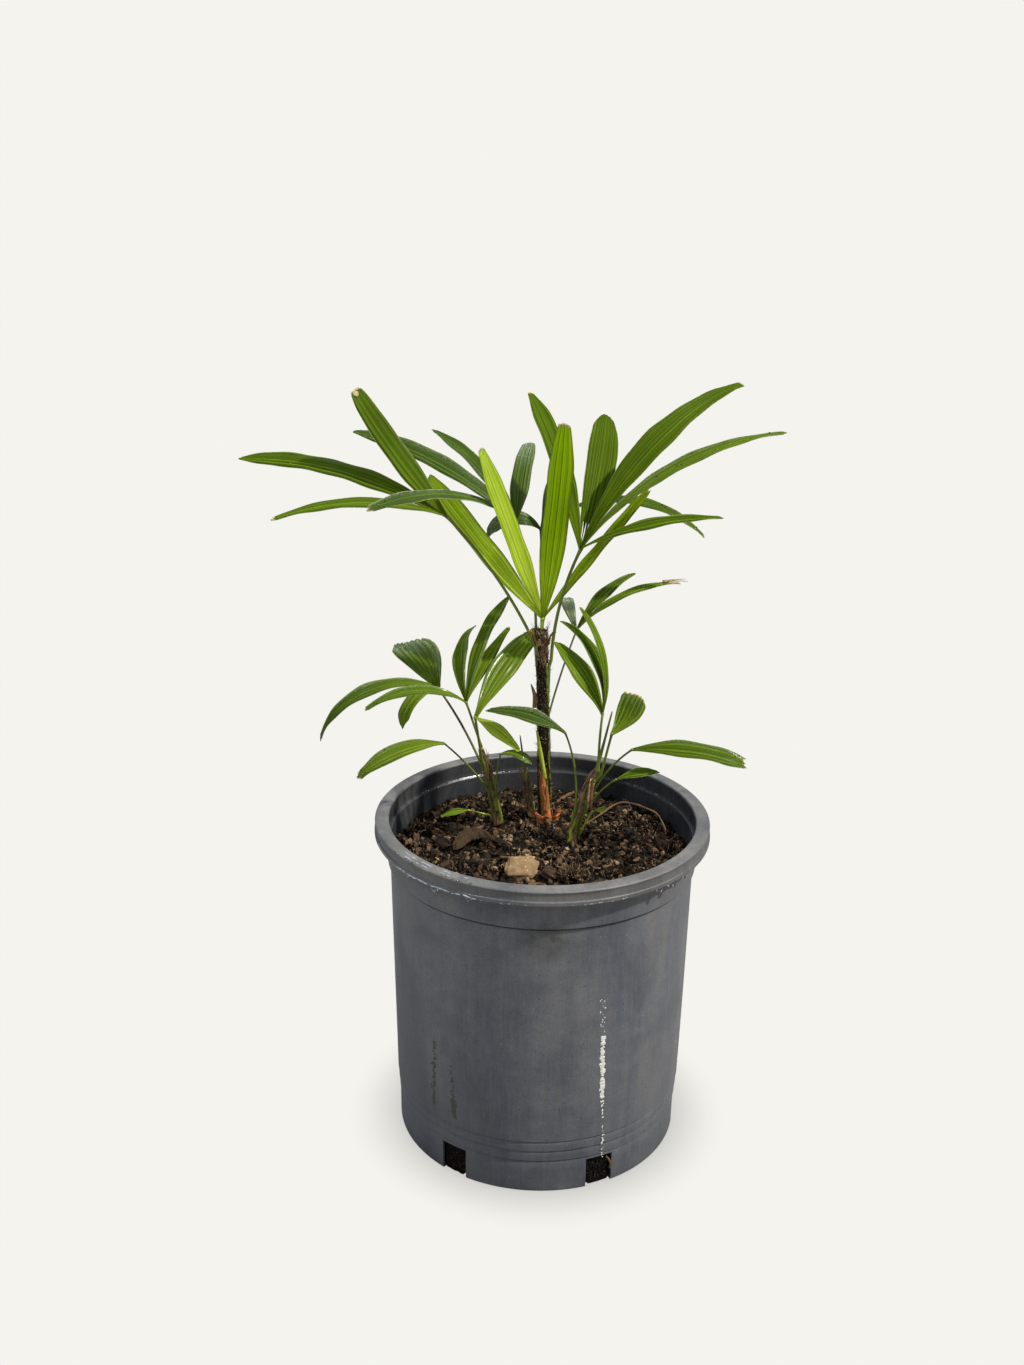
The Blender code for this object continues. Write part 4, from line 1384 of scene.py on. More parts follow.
def make_stem(name, seed):
    """A stem's bark, its old leaf bases, and the fibres and hairs on it, in three pieces."""
    rng = np.random.default_rng(seed)
    bark = Heap()
    add_bark(bark, name)
    bark.piece(name + "_bark", [name])

    sheaths = Heap(*np.repeat(("sheath", "rust", "green_sheath", "dark_sheath", "straw"), 2).tolist())
    count, low, high, length = SHEATHS[name]
    _, _, finishes, fullness = CLADDING[name]
    for k in range(count):
        up = low + (high - low) * k / (count - 1)
        slim = fullness or 0.84 - 0.35 * float(smooth((up / STEMS[name][3] - 0.4) / 0.6))
        azimuth = 180 + GOLDEN_ANGLE * k
        add_sheath(sheaths, name, up, azimuth, length, finishes[k % len(finishes)], rng, slim)
    sheaths.piece(name + "_sheaths", [name], thickness=0.25)

    fibres = Heap()
    on_trunk = name == "trunk"
    share = 0.25 if name == "shoot_young" else 1.0
    size = STEMS[name][3] * STEMS[name][5]
    strand = "fibre" if on_trunk else "brown_fibre"
    crossed = "fibre" if on_trunk else "tan_fibre"
    tan_hairs = 0.3 if on_trunk else 1.1
    add_fibres(fibres, name, int(size * 0.7 * share), rng, strand, high=0.8)
    add_fibres(fibres, name, int(size * 0.3 * share), rng, crossed, high=0.7)
    add_hairs(fibres, name, int(size * 0.8 * share), rng, strand, high=0.9, reach=(1.0, 3.2))
    add_hairs(fibres, name, int(size * tan_hairs * share), rng, "tan_fibre", high=0.8, reach=(0.8, 2.4))
    fibres.piece(name + "_fibres", [name])


def make_green_strips():
    """Green stalk feet that run down the stems."""
    strips = Heap()
    shares = np.linspace(0, 1, STRIP_STEPS)
    for stem, azimuth, low, high, radius, finish in GREEN_STRIPS:
        points = []
        for step in range(STRIP_STEPS):
            up = low + (high - low) * step / (STRIP_STEPS - 1)
            angle = math.radians(azimuth + 9 * math.sin(step * 0.5))
            points.append(beside_stem(stem, up, angle, 0.74))
        narrowing = 1.1 - 0.45 * shares if finish == "young_stalk" else 0.9
        tube(strips, points, radius * narrowing, 9, finish, age=np.linspace(0.35, 0.05, STRIP_STEPS))
    strips.piece("stem_green_strips", ["trunk"])


def make_torn_sheaths():
    """Torn sheaths round the trunk's top, and a small old spike on its left side."""
    torn = Heap("rust", "rust", "sheath", "sheath")
    for azimuth, low, size, width, lean, finish in TORN_SHEATHS:
        out = outward(math.radians(azimuth))
        base = beside_stem("trunk", low, math.radians(azimuth))
        line = [base + out * lean * share + (0, 0, size * lift)
                for share, lift in ((0, 0), (0.3, 0.45), (1, 0.8), (1.5, 0.75))]
        add_ribbon(torn, curve_through(line, 12), np.linspace(width, 0.4, 12), out, finish, 0.25)
    out = outward(math.radians(OLD_SPIKE_AZIMUTH))
    base = beside_stem("trunk", OLD_SPIKE_UP, math.radians(OLD_SPIKE_AZIMUTH))
    spike = curve_through([base - (0, 0, 6), base + out + (0, 0, 2), base + out * 3.6 + (0, 0, 9.5)], 12)
    add_ribbon(torn, spike, np.linspace(4.8, 0.4, 12), (-0.2, -1.0, 0), "sheath", 0.2)
    torn.piece("trunk_torn_sheaths", ["trunk"], thickness=0.3)


def make_trunk_fluff():
    """Tan fibre that thickens towards the trunk's top, and flecks of old bark."""
    rng = np.random.default_rng(41)
    tuft = Heap()
    add_hairs(tuft, "trunk", 240, rng, "tan_fibre", 0.84, 0.99, (1.2, 3.6), 1.2)
    add_fibres(tuft, "trunk", 90, rng, "tan_fibre", 0.8, 0.93)
    add_hairs(tuft, "trunk", 330, rng, "tan_fibre", 0.4, 0.86, (0.8, 2.2), 0.8)
    add_hairs(tuft, "trunk", 110, rng, "fibre", 0.9, 1.0, (3.0, 7.0), 2.2)
    tuft.piece("trunk_top_tuft", ["trunk"])

    flecks = Heap()
    for finish, count, low in (("tan_fibre", 150, 70), ("fibre", 260, 30), ("sheath", 130, 10)):
        centres = []
        for _ in range(count):
            up = rng.uniform(low, 120) if finish != "tan_fibre" else 120 - 50 * rng.random() ** 1.6
            centres.append(beside_stem("trunk", up, rng.uniform(0, FULL_TURN), rng.uniform(0.8, 0.92)))
        sizes = rng.uniform(0.35, 0.95, count)
        lumps(flecks, centres, sizes, rng, finish, rough=0.35, shape=(0.5, 0.5, 1.0))
    flecks.piece("trunk_flecks", ["trunk"], flat=True)


def add_bract(heap, foot, heading, size, width, lean, rng):
    """A crumpled papery bract that stands at a shoot's foot and curls outwards at its torn top."""
    h = math.radians(heading)
    out_way, side = outward(h), np.array((-math.sin(h), math.cos(h), 0))
    rows, columns = 14, 11
    torn = rng.uniform(0, 0.3, columns)
    shift = rng.uniform(0, 9, 3)
    points = []
    for row in range(rows):
        for w, tear in zip(np.linspace(-1, 1, columns), torn):
            v = row / (rows - 1) * (1 - tear)
            crumple = noise.noise(Vector((w * 1.7, v * 2.6, shift[0]))) * 1.5
            crumple += noise.noise(Vector((w * 4.5, v * 6.0, shift[1]))) * 0.7
            half = width / 2 * (0.55 + 0.75 * v - 0.55 * v**3)
            out = lean * (v**2 * 1.5) - 1.3 * w * w + crumple * (0.4 + v)
            rise = size * (v - 0.3 * v**3 * (1 + 0.5 * math.sin(shift[2])))
            points.append(np.array(foot) + side * half * w + out_way * out + (0, 0, rise))
    heap.add(points, grid_faces(rows, columns), "rust")


def make_shoot_bracts():
    """Curled rust-brown bracts at the shoots' feet, and a cut sheath on each lower stem."""
    rng = np.random.default_rng(61)
    bracts = Heap("rust", "rust", "sheath", "sheath", "cream", "cream")
    for (x, y), *shape in BRACTS:
        add_bract(bracts, (x, y, mix_height(math.hypot(x, y)) - 1.2), *shape, rng)
    axis, radius = stem_at("stem_right", 34)
    base = axis + (radius * 0.4, -radius * 0.9, 0)
    line = curve_through([base - (0, 0, 12), base + (0.2, -0.5, 0), base + (1.4, -1.2, 9)], 12)
    for stretch, finish in ((line[:10], "sheath"), (line[9:], "cream")):
        add_ribbon(bracts, stretch, np.full(len(stretch), 3.4), (0.4, -0.9, 0), finish, 0.4)
    axis, radius = stem_at("stem_left", 36)
    base = axis + (0, -radius * 1.02, 0)
    line = curve_through([base - (0, 0, 5), base + (0.3, -0.3, 0), base + (-0.4, -0.8, 6)], 10)
    add_ribbon(bracts, line, np.linspace(1.9, 0.8, 10), (0, -1.0, 0), "sheath", 0.3)
    bracts.piece("stem_foot_bracts", ["shoot_young"], thickness=0.35)


# Potting mix


def mix_relief(x, y):
    """Uneven height of the mix over its smooth mound."""
    spot = Vector((x, y, 3.0))
    broad = 3.2 * noise.noise(spot / 15) + 3.4 * noise.noise(spot / 6.5)
    return broad + 2.2 * noise.noise(spot / 3.0) - 2.2


def mix_top(x, y):
    """Height of the mix at a place."""
    return mix_height(math.hypot(x, y)) + mix_relief(x, y)


def mix_tops(spots):
    """Heights of the mix at several places."""
    return np.array([mix_top(x, y) for x, y in spots])


def near_notch(angle, inset):
    """Whether an angle in radians lies in a drain notch, by more than an inset from its side."""
    pitch = FULL_TURN / NOTCHES
    off = (angle - math.radians(NOTCH_FIRST) + pitch / 2) % pitch - pitch / 2
    return abs(off) * FOOT_RADIUS < NOTCH_WIDTH / 2 - inset


def make_mix_body():
    """The potting mix as one closed body, rough on top and where the pot's notches show it."""
    angles = np.linspace(0, FULL_TURN, MIX_SIDES, endpoint=False)
    edge = pot_inner(MIX_EDGE_HEIGHT) - GAP
    top = []
    for share in np.linspace(1, 0.012, 74):
        flat = [around(edge * share, a, 0)[:2] for a in angles]
        top.append([(x, y, mix_top(x, y)) for x, y in flat])
    wall = []
    for height in [FLOOR + GAP, *np.linspace(FLOOR + 0.6, 24, 18), 60, 100, 140, 178]:
        ring = []
        for a in angles:
            spot = Vector(around(40, a, height / 2.2))
            radius = pot_inner(height) - GAP - 0.5 - 0.5 * noise.noise(spot) - 0.3 * noise.noise(spot * 2.3)
            ring.append(around(radius, a, height))
        wall.append(ring)
    under = [[around(radius, a, FLOOR + GAP) for a in angles] for radius in (1.0, 40.0, 74.0, 77.5, 78.5)]
    for side, a in enumerate(angles):
        if near_notch(a, 1.2):
            for ring in (under[-1], wall[0]):
                ring[side] = (*ring[side][:2], GAP)
    rings = [*under, *wall, *top]
    body = Heap()
    body.add(np.array(rings), ring_faces(len(rings), MIX_SIDES), "mix")
    body.piece("mix_body", ["potting_mix"])


def mix_spots(count, rng, reach=0.985):
    """Random places on the mix's surface, clear of the stems."""
    edge = pot_inner(MIX_EDGE_HEIGHT) * reach
    stems = [(foot, foot_radius) for foot, _, _, _, _, foot_radius, _ in STEMS.values()]
    spots = []
    while len(spots) < count:
        x, y = rng.uniform(-edge, edge, 2)
        beside = all(math.hypot(x - foot[0], y - foot[1]) >= radius + 0.8 for foot, radius in stems)
        if math.hypot(x, y) <= edge and beside:
            spots.append((x, y))
    return np.array(spots)


def add_crumbs(heap, spots, sizes, lifts, rng, finish, **form):
    """Crumbs that lie on the mix at some places, lifted by given heights."""
    places = np.column_stack([spots, mix_tops(spots) + lifts])
    lumps(heap, places, sizes, rng, finish, **form)


def add_notch_crumbs(heap, rng, finish):
    """What shows of the mix in the drain notches."""
    spots = []
    for k in range(NOTCHES):
        middle = math.radians(NOTCH_FIRST + 360 / NOTCHES * k)
        for _ in range(NOTCH_CRUMBS):
            a = middle + rng.uniform(-1, 1) * (NOTCH_WIDTH / 2 - 1.4) / FOOT_RADIUS
            z = rng.uniform(0.6, NOTCH_HEIGHT - 1)
            depth = rng.uniform(0.2, 0.9) if z > FLOOR + 1 else rng.uniform(1.0, 6.0)
            spots.append(around(pot_inner(z) - depth, a, z))
    lumps(heap, spots, rng.uniform(0.4, 1.0, len(spots)), rng, finish, rough=0.28)


def make_mix_crumbs():
    """Round crumbs, shards, larger lumps and flakes of the mix, in a piece of each kind."""
    for finish, name, count, (least, most), seed in CRUMB_KINDS:
        rng = np.random.default_rng(seed)
        crumbs = Heap()
        spots = mix_spots(count, rng)
        size = least + (most - least) * rng.random(count) ** 2
        lift = size * rng.uniform(-0.1, 0.8, count)
        whole = rng.random(count) < 0.5
        for those, share, form in (
            (whole, 0.85, {"rough": 0.36, "lean": (0.4, 1.0)}),
            (~whole, 1.5, {"rough": 0.38, "lean": (0.7, 1.0), "shape": (1.0, 0.42, 0.3)}),
        ):
            add_crumbs(crumbs, spots[those], size[those] * share, lift[those], rng, finish, **form)
        spots = mix_spots(count // 10, rng, 0.95)
        size = rng.uniform(1.0, 1.6, len(spots)) * most
        add_crumbs(crumbs, spots, size, size * 0.3, rng, finish, detail=2, rough=0.34, lean=(0.35, 1.0))
        spots = mix_spots(count // 6, rng, 0.96)
        size = rng.uniform(0.8, 2.0, len(spots)) * most
        lift = 0.5 + size * 0.15
        add_crumbs(crumbs, spots, size, lift, rng, finish, rough=0.3, shape=(1.0, 0.42, 0.16))
        if finish == "dark_crumb":
            add_notch_crumbs(crumbs, rng, finish)
        crumbs.piece(name, [], flat=True)


def add_litter_strands(heap, count, rng, finish, lengths, thickness):
    """Short bent fibres that lie on the mix."""
    steps = np.linspace(-0.5, 0.5, 6)
    for (x, y), turn in zip(mix_spots(count, rng, 0.95), rng.uniform(0, FULL_TURN, count)):
        size = rng.uniform(*lengths)
        curl = rng.normal(scale=0.35)
        tilt = rng.uniform(-0.35, 0.35)
        xs = x + size * (steps * math.cos(turn) - curl * steps**2 * math.sin(turn))
        ys = y + size * (steps * math.sin(turn) + curl * steps**2 * math.cos(turn))
        if np.hypot(xs, ys).max() >= pot_inner(MIX_EDGE_HEIGHT) - 1.5:
            continue
        zs = mix_tops(zip(xs, ys)) + 0.9 + np.maximum(0, size * tilt * steps)
        radii = np.linspace(1, 0.5, 6) * rng.uniform(*thickness)
        tube(heap, np.column_stack([xs, ys, zs]), radii, 4, finish)


def make_mix_fibres():
    """Fibres on the mix in one piece, and its bare roots and twigs in another."""
    rng = np.random.default_rng(81)
    strands = Heap()
    for finish, count, lengths, thickness in MIX_STRANDS:
        add_litter_strands(strands, count, rng, finish, lengths, thickness)
    strands.piece("mix_fibres", [])

    roots = Heap()
    tube(roots, curve_through(LONG_ROOT, 44), 0.62 + 0.14 * np.sin(np.arange(44) * 0.9), 7, "root")
    for points, lifts, thick in TWIGS:
        line = curve_through(np.column_stack([points, mix_tops(points) + lifts]), 16)
        tube(roots, line, thick * (1 + 0.2 * np.sin(np.arange(16) * 1.3)), 6, "root")
    middle = math.radians(NOTCH_FIRST + 4.6)
    notch_root = [around(radius, middle + past, height) for radius, past, height in NOTCH_ROOT]
    tube(roots, curve_through(notch_root, 14), np.linspace(0.5, 0.95, 14), 7, "root")
    roots.piece("mix_roots_and_twigs", [])


def make_chips():
    """Blocky chips of bark, rough on a coarse and a fine scale."""
    chips = Heap()
    places, faces = ball_of_faces(4)
    block = np.sign(places) * np.abs(places) ** 0.56
    for (x, y), long, wide, thick, turn, tilt, finish in CHIPS:
        rough = []
        for place in places:
            spot = Vector(place)
            coarse = 0.16 * noise.noise(spot * 1.7 + Vector((x, y, 4)))
            middling = 0.14 * noise.noise(spot * 4 + Vector((x, y, 0)))
            fine = 0.12 * noise.noise(spot * 10 + Vector((x, y, 0)))
            rough.append(1 + coarse + middling + fine)
        shaped = block * (np.array((long, wide, thick)) / 2) * np.array(rough)[:, None]
        matrix = Matrix.Rotation(math.radians(turn), 3, "Z") @ Matrix.Rotation(math.radians(tilt), 3, "X")
        chips.add(shaped @ np.array(matrix).T + (x, y, mix_top(x, y) + thick * 0.55), faces, finish)
    chips.piece("mix_bark_chips", [])


def make_fallen_leaf(rng):
    """A brown leaf, curled up along one side, that lies on the mix."""
    rows, columns = 40, 11
    upper = curve_through(LEAF_RAISED_EDGE, rows)
    lower = curve_through(LEAF_LOWER_EDGE, rows)
    upper += rng.normal(scale=0.28, size=upper.shape)
    lower += rng.normal(scale=0.32, size=lower.shape)
    sheet = []
    for s, (top, foot) in enumerate(zip(upper, lower)):
        for w in np.linspace(0, 1, columns):
            bulge = math.sin(math.pi * w) * math.sin(math.pi * s / (rows - 1)) * 1.8
            bulge += 0.3 * math.sin(s * 0.9 + w * 7) + 0.9 * noise.noise(Vector((s * 0.22, w * 2.5, 3)))
            sheet.append(foot + (top - foot) * w + np.array((0.1, -0.6, 0.5)) * bulge)
    fallen = Heap("litter", "litter")
    fallen.add(sheet, grid_faces(rows, columns), "litter")
    fallen.piece("mix_fallen_leaf", [], thickness=0.5)


def make_fibre_clump(rng):
    """A clump of coarse fibre at the front of the mix."""
    clump = Heap()
    middle = np.array((*FIBRE_CLUMP, mix_top(*FIBRE_CLUMP) + 1.5))
    lowest = mix_height(FIBRE_CLUMP_RADIUS) + 0.6
    steps = np.linspace(0, 1, 5)[:, None]
    for _ in range(150):
        start = middle + rng.normal(scale=(3.2, 2.6, 0.8))
        aim = unit(rng.normal(size=3) * (1, 1, 0.55) + (0, 0, 0.5))
        bow = rng.normal(scale=1.2, size=3)
        line = start + aim * rng.uniform(3, 7) * steps + bow * steps**2
        line[:, 2] = np.maximum(line[:, 2], lowest)
        tube(clump, line, np.linspace(0.5, 0.2, 5), 4, "brown_crumb" if rng.random() < 0.6 else "tan_crumb")
    clump.piece("mix_fibre_clump", [])


def make_litter():
    """Bark chips, a fallen leaf and a clump of coarse fibre on the mix."""
    rng = np.random.default_rng(91)
    make_chips()
    make_fallen_leaf(rng)
    make_fibre_clump(rng)


# Pot


def arc(centre, radius, start, end, steps=5):
    """Points on an arc, in the plane of radius and height."""
    return [
        (centre[0] + radius * math.cos(math.radians(a)), centre[1] + radius * math.sin(math.radians(a)))
        for a in np.linspace(start, end, steps)
    ]


def straight(start, end, steps):
    """Points between two places, without them."""
    return [tuple(np.array(start) + (np.array(end) - start) * k / steps) for k in range(1, steps)]


def pot_profile():
    """The shell's outline from the middle of its inside over the rim to the middle of its underside."""
    inner_foot = pot_inner(FLOOR)
    inner_top = (pot_inner(INNER_WALL_TOP), INNER_WALL_TOP)
    inside = [(0.0, FLOOR), (inner_foot * 0.5, FLOOR), (inner_foot, FLOOR)]
    inside += straight((inner_foot, FLOOR), inner_top, 12)
    inside += [inner_top, (RIM_INNER_RADIUS - 0.35, 194.4), (RIM_INNER_RADIUS, 195.0)]
    inside += straight((RIM_INNER_RADIUS, 195.0), (RIM_INNER_RADIUS, 203.7), 4)
    rim = arc((RIM_INNER_RADIUS + 1.3, POT_HEIGHT - 1.3), 1.3, 180, 90)
    rim += straight(rim[-1], (RIM_RADIUS - 1.5, POT_HEIGHT - 0.15), 4)
    rim += arc((RIM_RADIUS - 1.2, POT_HEIGHT - 1.35), 0.9, 90, 5)
    band = [(RIM_RADIUS - 0.8, 202.9), (RIM_RADIUS - 0.9, 201.0), (RIM_RADIUS - 0.9, 199.1)]
    band += arc((RIM_RADIUS - LIP_ROUNDING, 197.7), LIP_ROUNDING, 88, 0, 7)
    band += arc((RIM_RADIUS - LIP_ROUNDING, BAND_FOOT + LIP_ROUNDING), LIP_ROUNDING, 0, -90)
    band += [(95.4, BAND_FOOT - 0.1), (94.3, BAND_FOOT - 0.5), (93.9, BAND_FOOT - 1.4)]
    shoulder = (SHOULDER_RADIUS, STEP_HEIGHT + 1.3)
    wall = straight(band[-1], shoulder, 4) + [shoulder]
    wall += [(SHOULDER_RADIUS - 0.1, STEP_HEIGHT + 0.9), (91.3, STEP_HEIGHT + 0.7)]
    wall += [(STEP_RADIUS - 0.65, STEP_HEIGHT + 0.3), (STEP_RADIUS - 0.6, STEP_HEIGHT - 0.2)]
    wall += [(STEP_RADIUS, STEP_HEIGHT - 0.7)]
    slope = (STEP_RADIUS - FOOT_RADIUS - RING_STEP * len(RING_HEIGHTS)) / STEP_HEIGHT
    radius, height = STEP_RADIUS, STEP_HEIGHT
    for ring in RING_HEIGHTS:
        above = (radius - slope * (height - ring), ring + 0.6)
        wall += straight(wall[-1], above, max(2, int((height - ring) / 9))) + [above]
        radius, height = above[0] - RING_STEP, ring
        wall += [(radius - 0.3, ring + 0.1), (radius - 0.3, ring - 0.2), (radius, ring - 0.7)]
    wall += straight(wall[-1], (FOOT_RADIUS, 1.6), 3)
    wall += arc((FOOT_RADIUS - FOOT_ROUNDING, FOOT_ROUNDING), FOOT_ROUNDING, 0, -90)
    under = [(78.0, 0.0), (77.2, 0.5), (60.0, 0.5), (59.4, 0.1), (56.6, 0.1), (56.0, 0.5)]
    under += [(20.0, 0.5), (0.0, 0.5)]
    return inside + rim + band + wall + under


def shell_finishes(shell, lines, angles):
    """The slot of each face of the shell, for the strips between its profile's points."""
    middle = (lines[:-1] + lines[1:]) / 2
    inside_end = next(k for k, (_, height) in enumerate(lines) if height > 203)
    low, high = BAND_HEIGHTS
    kinds = []
    for k, (radius, height) in enumerate(middle):
        if k < inside_end:
            kinds.append("pot_inside")
        elif height > high:
            kinds.append("pot_rim")
        elif low < height < high and radius > BAND_RADIUS:
            kinds.append("rim_face")
        else:
            kinds.append("pot")
    slots = np.repeat([shell.slot(kind) for kind in kinds], POT_STEPS).reshape(-1, POT_STEPS)
    wet_side = (np.degrees(angles) > WET_AZIMUTHS[0]) & (np.degrees(angles) < WET_AZIMUTHS[1])
    lip = (middle[:, 0] > LIP_RADIUS) & (middle[:, 1] < LIP_TOP) & (middle[:, 1] > BAND_FOOT)
    slots[np.ix_(lip, wet_side)] = shell.slot("wet_lip")
    return slots.ravel()


def make_pot():
    """The pot's shell, its wall a little wavy, with its drain notches cut."""
    profile = pot_profile()
    shell = Heap(*PLASTICS)
    angles = np.linspace(0, FULL_TURN, POT_STEPS, endpoint=False)
    lines = np.array(profile[1:-1])
    bulge = np.clip((lines[:, 1] - 2) / 20, 0, 1) * np.clip((194 - lines[:, 1]) / 12, 0, 1)
    bulge *= lines[:, 0] < 93.8
    rings = []
    for (radius, height), soft in zip(lines, bulge):
        waver = 0.22 * np.sin(angles * 3 + 0.8) * math.sin(height / 60)
        waver += 0.1 * np.sin(angles * 7 + height / 33)
        reach = radius + soft * (waver - 0.2)
        ring = [reach * np.cos(angles), reach * np.sin(angles), np.full(POT_STEPS, height)]
        rings.append(np.stack(ring, 1))
    places = np.concatenate([*rings, [(0, 0, profile[0][1]), (0, 0, profile[-1][1])]])
    faces = ring_faces(len(rings), POT_STEPS)[:, ::-1]
    start = shell.add(places, faces, shell_finishes(shell, lines, angles))
    ends = end_faces(len(rings), POT_STEPS)[:, [1, 0, 2]]
    shell.add_faces(ends, start, np.repeat([shell.slot("pot_inside"), shell.slot("pot")], POT_STEPS))
    pot = shell.piece("pot_shell", ["pot"])
    cut_notches(pot)
    pot.data.set_sharp_from_angle(angle=math.radians(POT_CREASE))


def cut_notches(pot):
    """Cuts the drain notches through the foot of the wall and the edge of the floor."""
    cutters = Heap()
    reach = NOTCH_DEPTH * 2
    corners = np.array([(x, y, z) for x in (0, 1) for y in (-0.5, 0.5) for z in (0, 1)])
    quads = [(0, 1, 3, 2), (4, 6, 7, 5), (0, 4, 5, 1), (2, 3, 7, 6), (0, 2, 6, 4), (1, 5, 7, 3)]
    for k in range(NOTCHES):
        turn = np.array(Matrix.Rotation(math.radians(NOTCH_FIRST + 360 / NOTCHES * k), 3, "Z"))
        box = corners * (reach, NOTCH_WIDTH, NOTCH_HEIGHT + 2) + (FOOT_RADIUS - NOTCH_DEPTH, 0, -2)
        cutters.add(box @ turn.T, quads, "pot")
    mesh = bpy.data.meshes.new("notch_cutters")
    mesh.from_pydata(np.concatenate(cutters.places) * MM, [], cutters.faces)
    cutter = placed("notch_cutters", mesh)
    cut = pot.modifiers.new("notches", "BOOLEAN")
    cut.operation = "DIFFERENCE"
    cut.object = cutter
    cut.solver = "MANIFOLD"
    settle(pot)
    bpy.data.objects.remove(cutter)


def wall_radius(height):
    """Outer radius of the pot's wall between its rings and its step."""
    taper = (STEP_RADIUS - FOOT_RADIUS - RING_STEP * len(RING_HEIGHTS)) / STEP_HEIGHT
    return STEP_RADIUS - (STEP_HEIGHT - height) * taper - 0.2


def make_wall_marks(rng):
    """White marks painted as the glint of a wet trickle, and dried dirt runs on the wall."""
    marks = Heap()
    for finish, azimuths, heights, count, sizes, stray, rise in WALL_RUNS:
        for _ in range(count):
            share = rng.random()
            azimuth = azimuths[0] + (azimuths[1] - azimuths[0]) * share + rng.normal(scale=stray)
            height = heights[0] + (heights[1] - heights[0]) * share
            a = math.radians(azimuth)
            place = np.array(around(wall_radius(height), a, height))
            flat_drops(marks, [place], [outward(a)], [rng.uniform(*sizes)], rise, rng, finish, ragged=0.35)
    marks.piece("pot_wall_marks", [])


def make_rim_water(rng):
    """Drops that hang under the rim, each with a painted highlight, drops on the rim, and thin pale lines
    painted as gleams of water.
    """
    wet = Heap()
    places, faces = ball_of_faces(3)
    hang = places * (0.85, 0.85, 1.15)
    hang[:, 2] += 0.35 * np.clip(hang[:, 2], 0, 1)
    for azimuth, size in HANGING_DROPS:
        a = math.radians(azimuth)
        wet.add(hang * size + around(98.2, a, BAND_FOOT - size * 0.55), faces, "water")
        # A pale spot painted as the highlight of each hanging drop
        gleam = np.array(around(99.0, a + 0.004, BAND_FOOT - size * 0.85))
        flat_drops(wet, [gleam], [outward(a) + (0, 0, 0.3)], [size * 0.34], 0.5, rng, "wet_gleam")
    for low, high, radius, height, count in RIM_DROPS:
        for azimuth in rng.uniform(low, high, count):
            a = math.radians(azimuth)
            spot = np.array(around(radius, a, height))
            normal = np.array(around(0.5, a, 0.8))
            flat_drops(wet, [spot], [normal], [rng.uniform(0.3, 0.9)], 0.45, rng, "water")
    # Thin pale lines painted as gleams of water
    for low, high, radius, height, count, size in RIM_GLEAMS:
        for _ in range(count):
            start = rng.uniform(low, high)
            angles = np.radians(start + np.linspace(0, rng.uniform(0.6, 2.6) * min(1, size * 3), 6))
            drift = height + 0.22 * np.sin(angles * 40) + rng.uniform(-0.25, 0.25)
            line = np.stack([radius * np.cos(angles), radius * np.sin(angles), drift], 1)
            thick = size * rng.uniform(0.5, 1.1) * np.array((0.3, 0.9, 1.0, 1.0, 0.8, 0.3))
            tube(wet, line, thick, 5, "wet_gleam")
    wet.piece("pot_rim_water", [])


def make_pot_marks():
    """Marks on the pot's wall and water on its rim."""
    rng = np.random.default_rng(11)
    make_wall_marks(rng)
    make_rim_water(rng)


# Dew and dry spots on the leaves


def make_dew(beds):
    """Drops on the wet upper faces, more towards the tips."""
    rng = np.random.default_rng(23)
    dew = Heap()
    for points, out, wetness in beds:
        rows, columns = points.shape[:2]
        length = np.linalg.norm(np.diff(points[:, columns // 2], axis=0), axis=1).sum()
        for _ in range(int(wetness * length * 0.75)):
            row = int(rows * (0.12 + 0.84 * rng.random() ** 0.7))
            column = rng.integers(3, columns - 3)
            size = 0.16 + 0.42 * rng.random() ** 2.5
            spot = points[row, column] + out[row, column] * SEGMENT_THICKNESS * 0.5
            flat_drops(dew, [spot], [out[row, column]], [size], 0.62, rng, "water", sides=8)
    dew.piece("leaf_dew", [])


def make_tip_spot():
    """A dry tan spot near the tip of the upright left segment, and loose dry ends at the low back tip."""
    spots = Heap()
    rng = np.random.default_rng(5)
    hub = leaf_hub("frond_left_high")
    heading, rise, roll, length, _, bend, _ = LEAVES["frond_left_high"][4][0][0]
    places, out = limb_line(hub, heading, rise, roll, length, bend, [0.955])
    across = limb_frame(heading, rise, roll)[1]
    spot = places[0] + across * 1.2 + out[0] * 0.25
    flat_drops(spots, [spot], [out[0]], [1.9], 0.16, rng, "dry", ragged=0.1, sides=14)
    hub = leaf_hub("frond_back_low") + (0, 0, ROOT_STACK * 2)
    heading, rise, roll, length, _, bend, _ = LEAVES["frond_back_low"][4][2][0]
    across = limb_frame(heading, rise, roll)[1]
    line, _ = limb_line(hub, heading, rise, roll, length * 1.06, bend, np.linspace(0.8, 1, 12))
    for offset, drift in ((0.7, 1.2), (-0.7, -1.6)):
        drawn = line + across * (offset + drift * np.linspace(0, 1, 12)[:, None] ** 2)
        tube(spots, drawn, np.linspace(0.55, 0.15, 12), 5, "dry")
    spots.piece("leaf_dry_spots", [])


# Stage


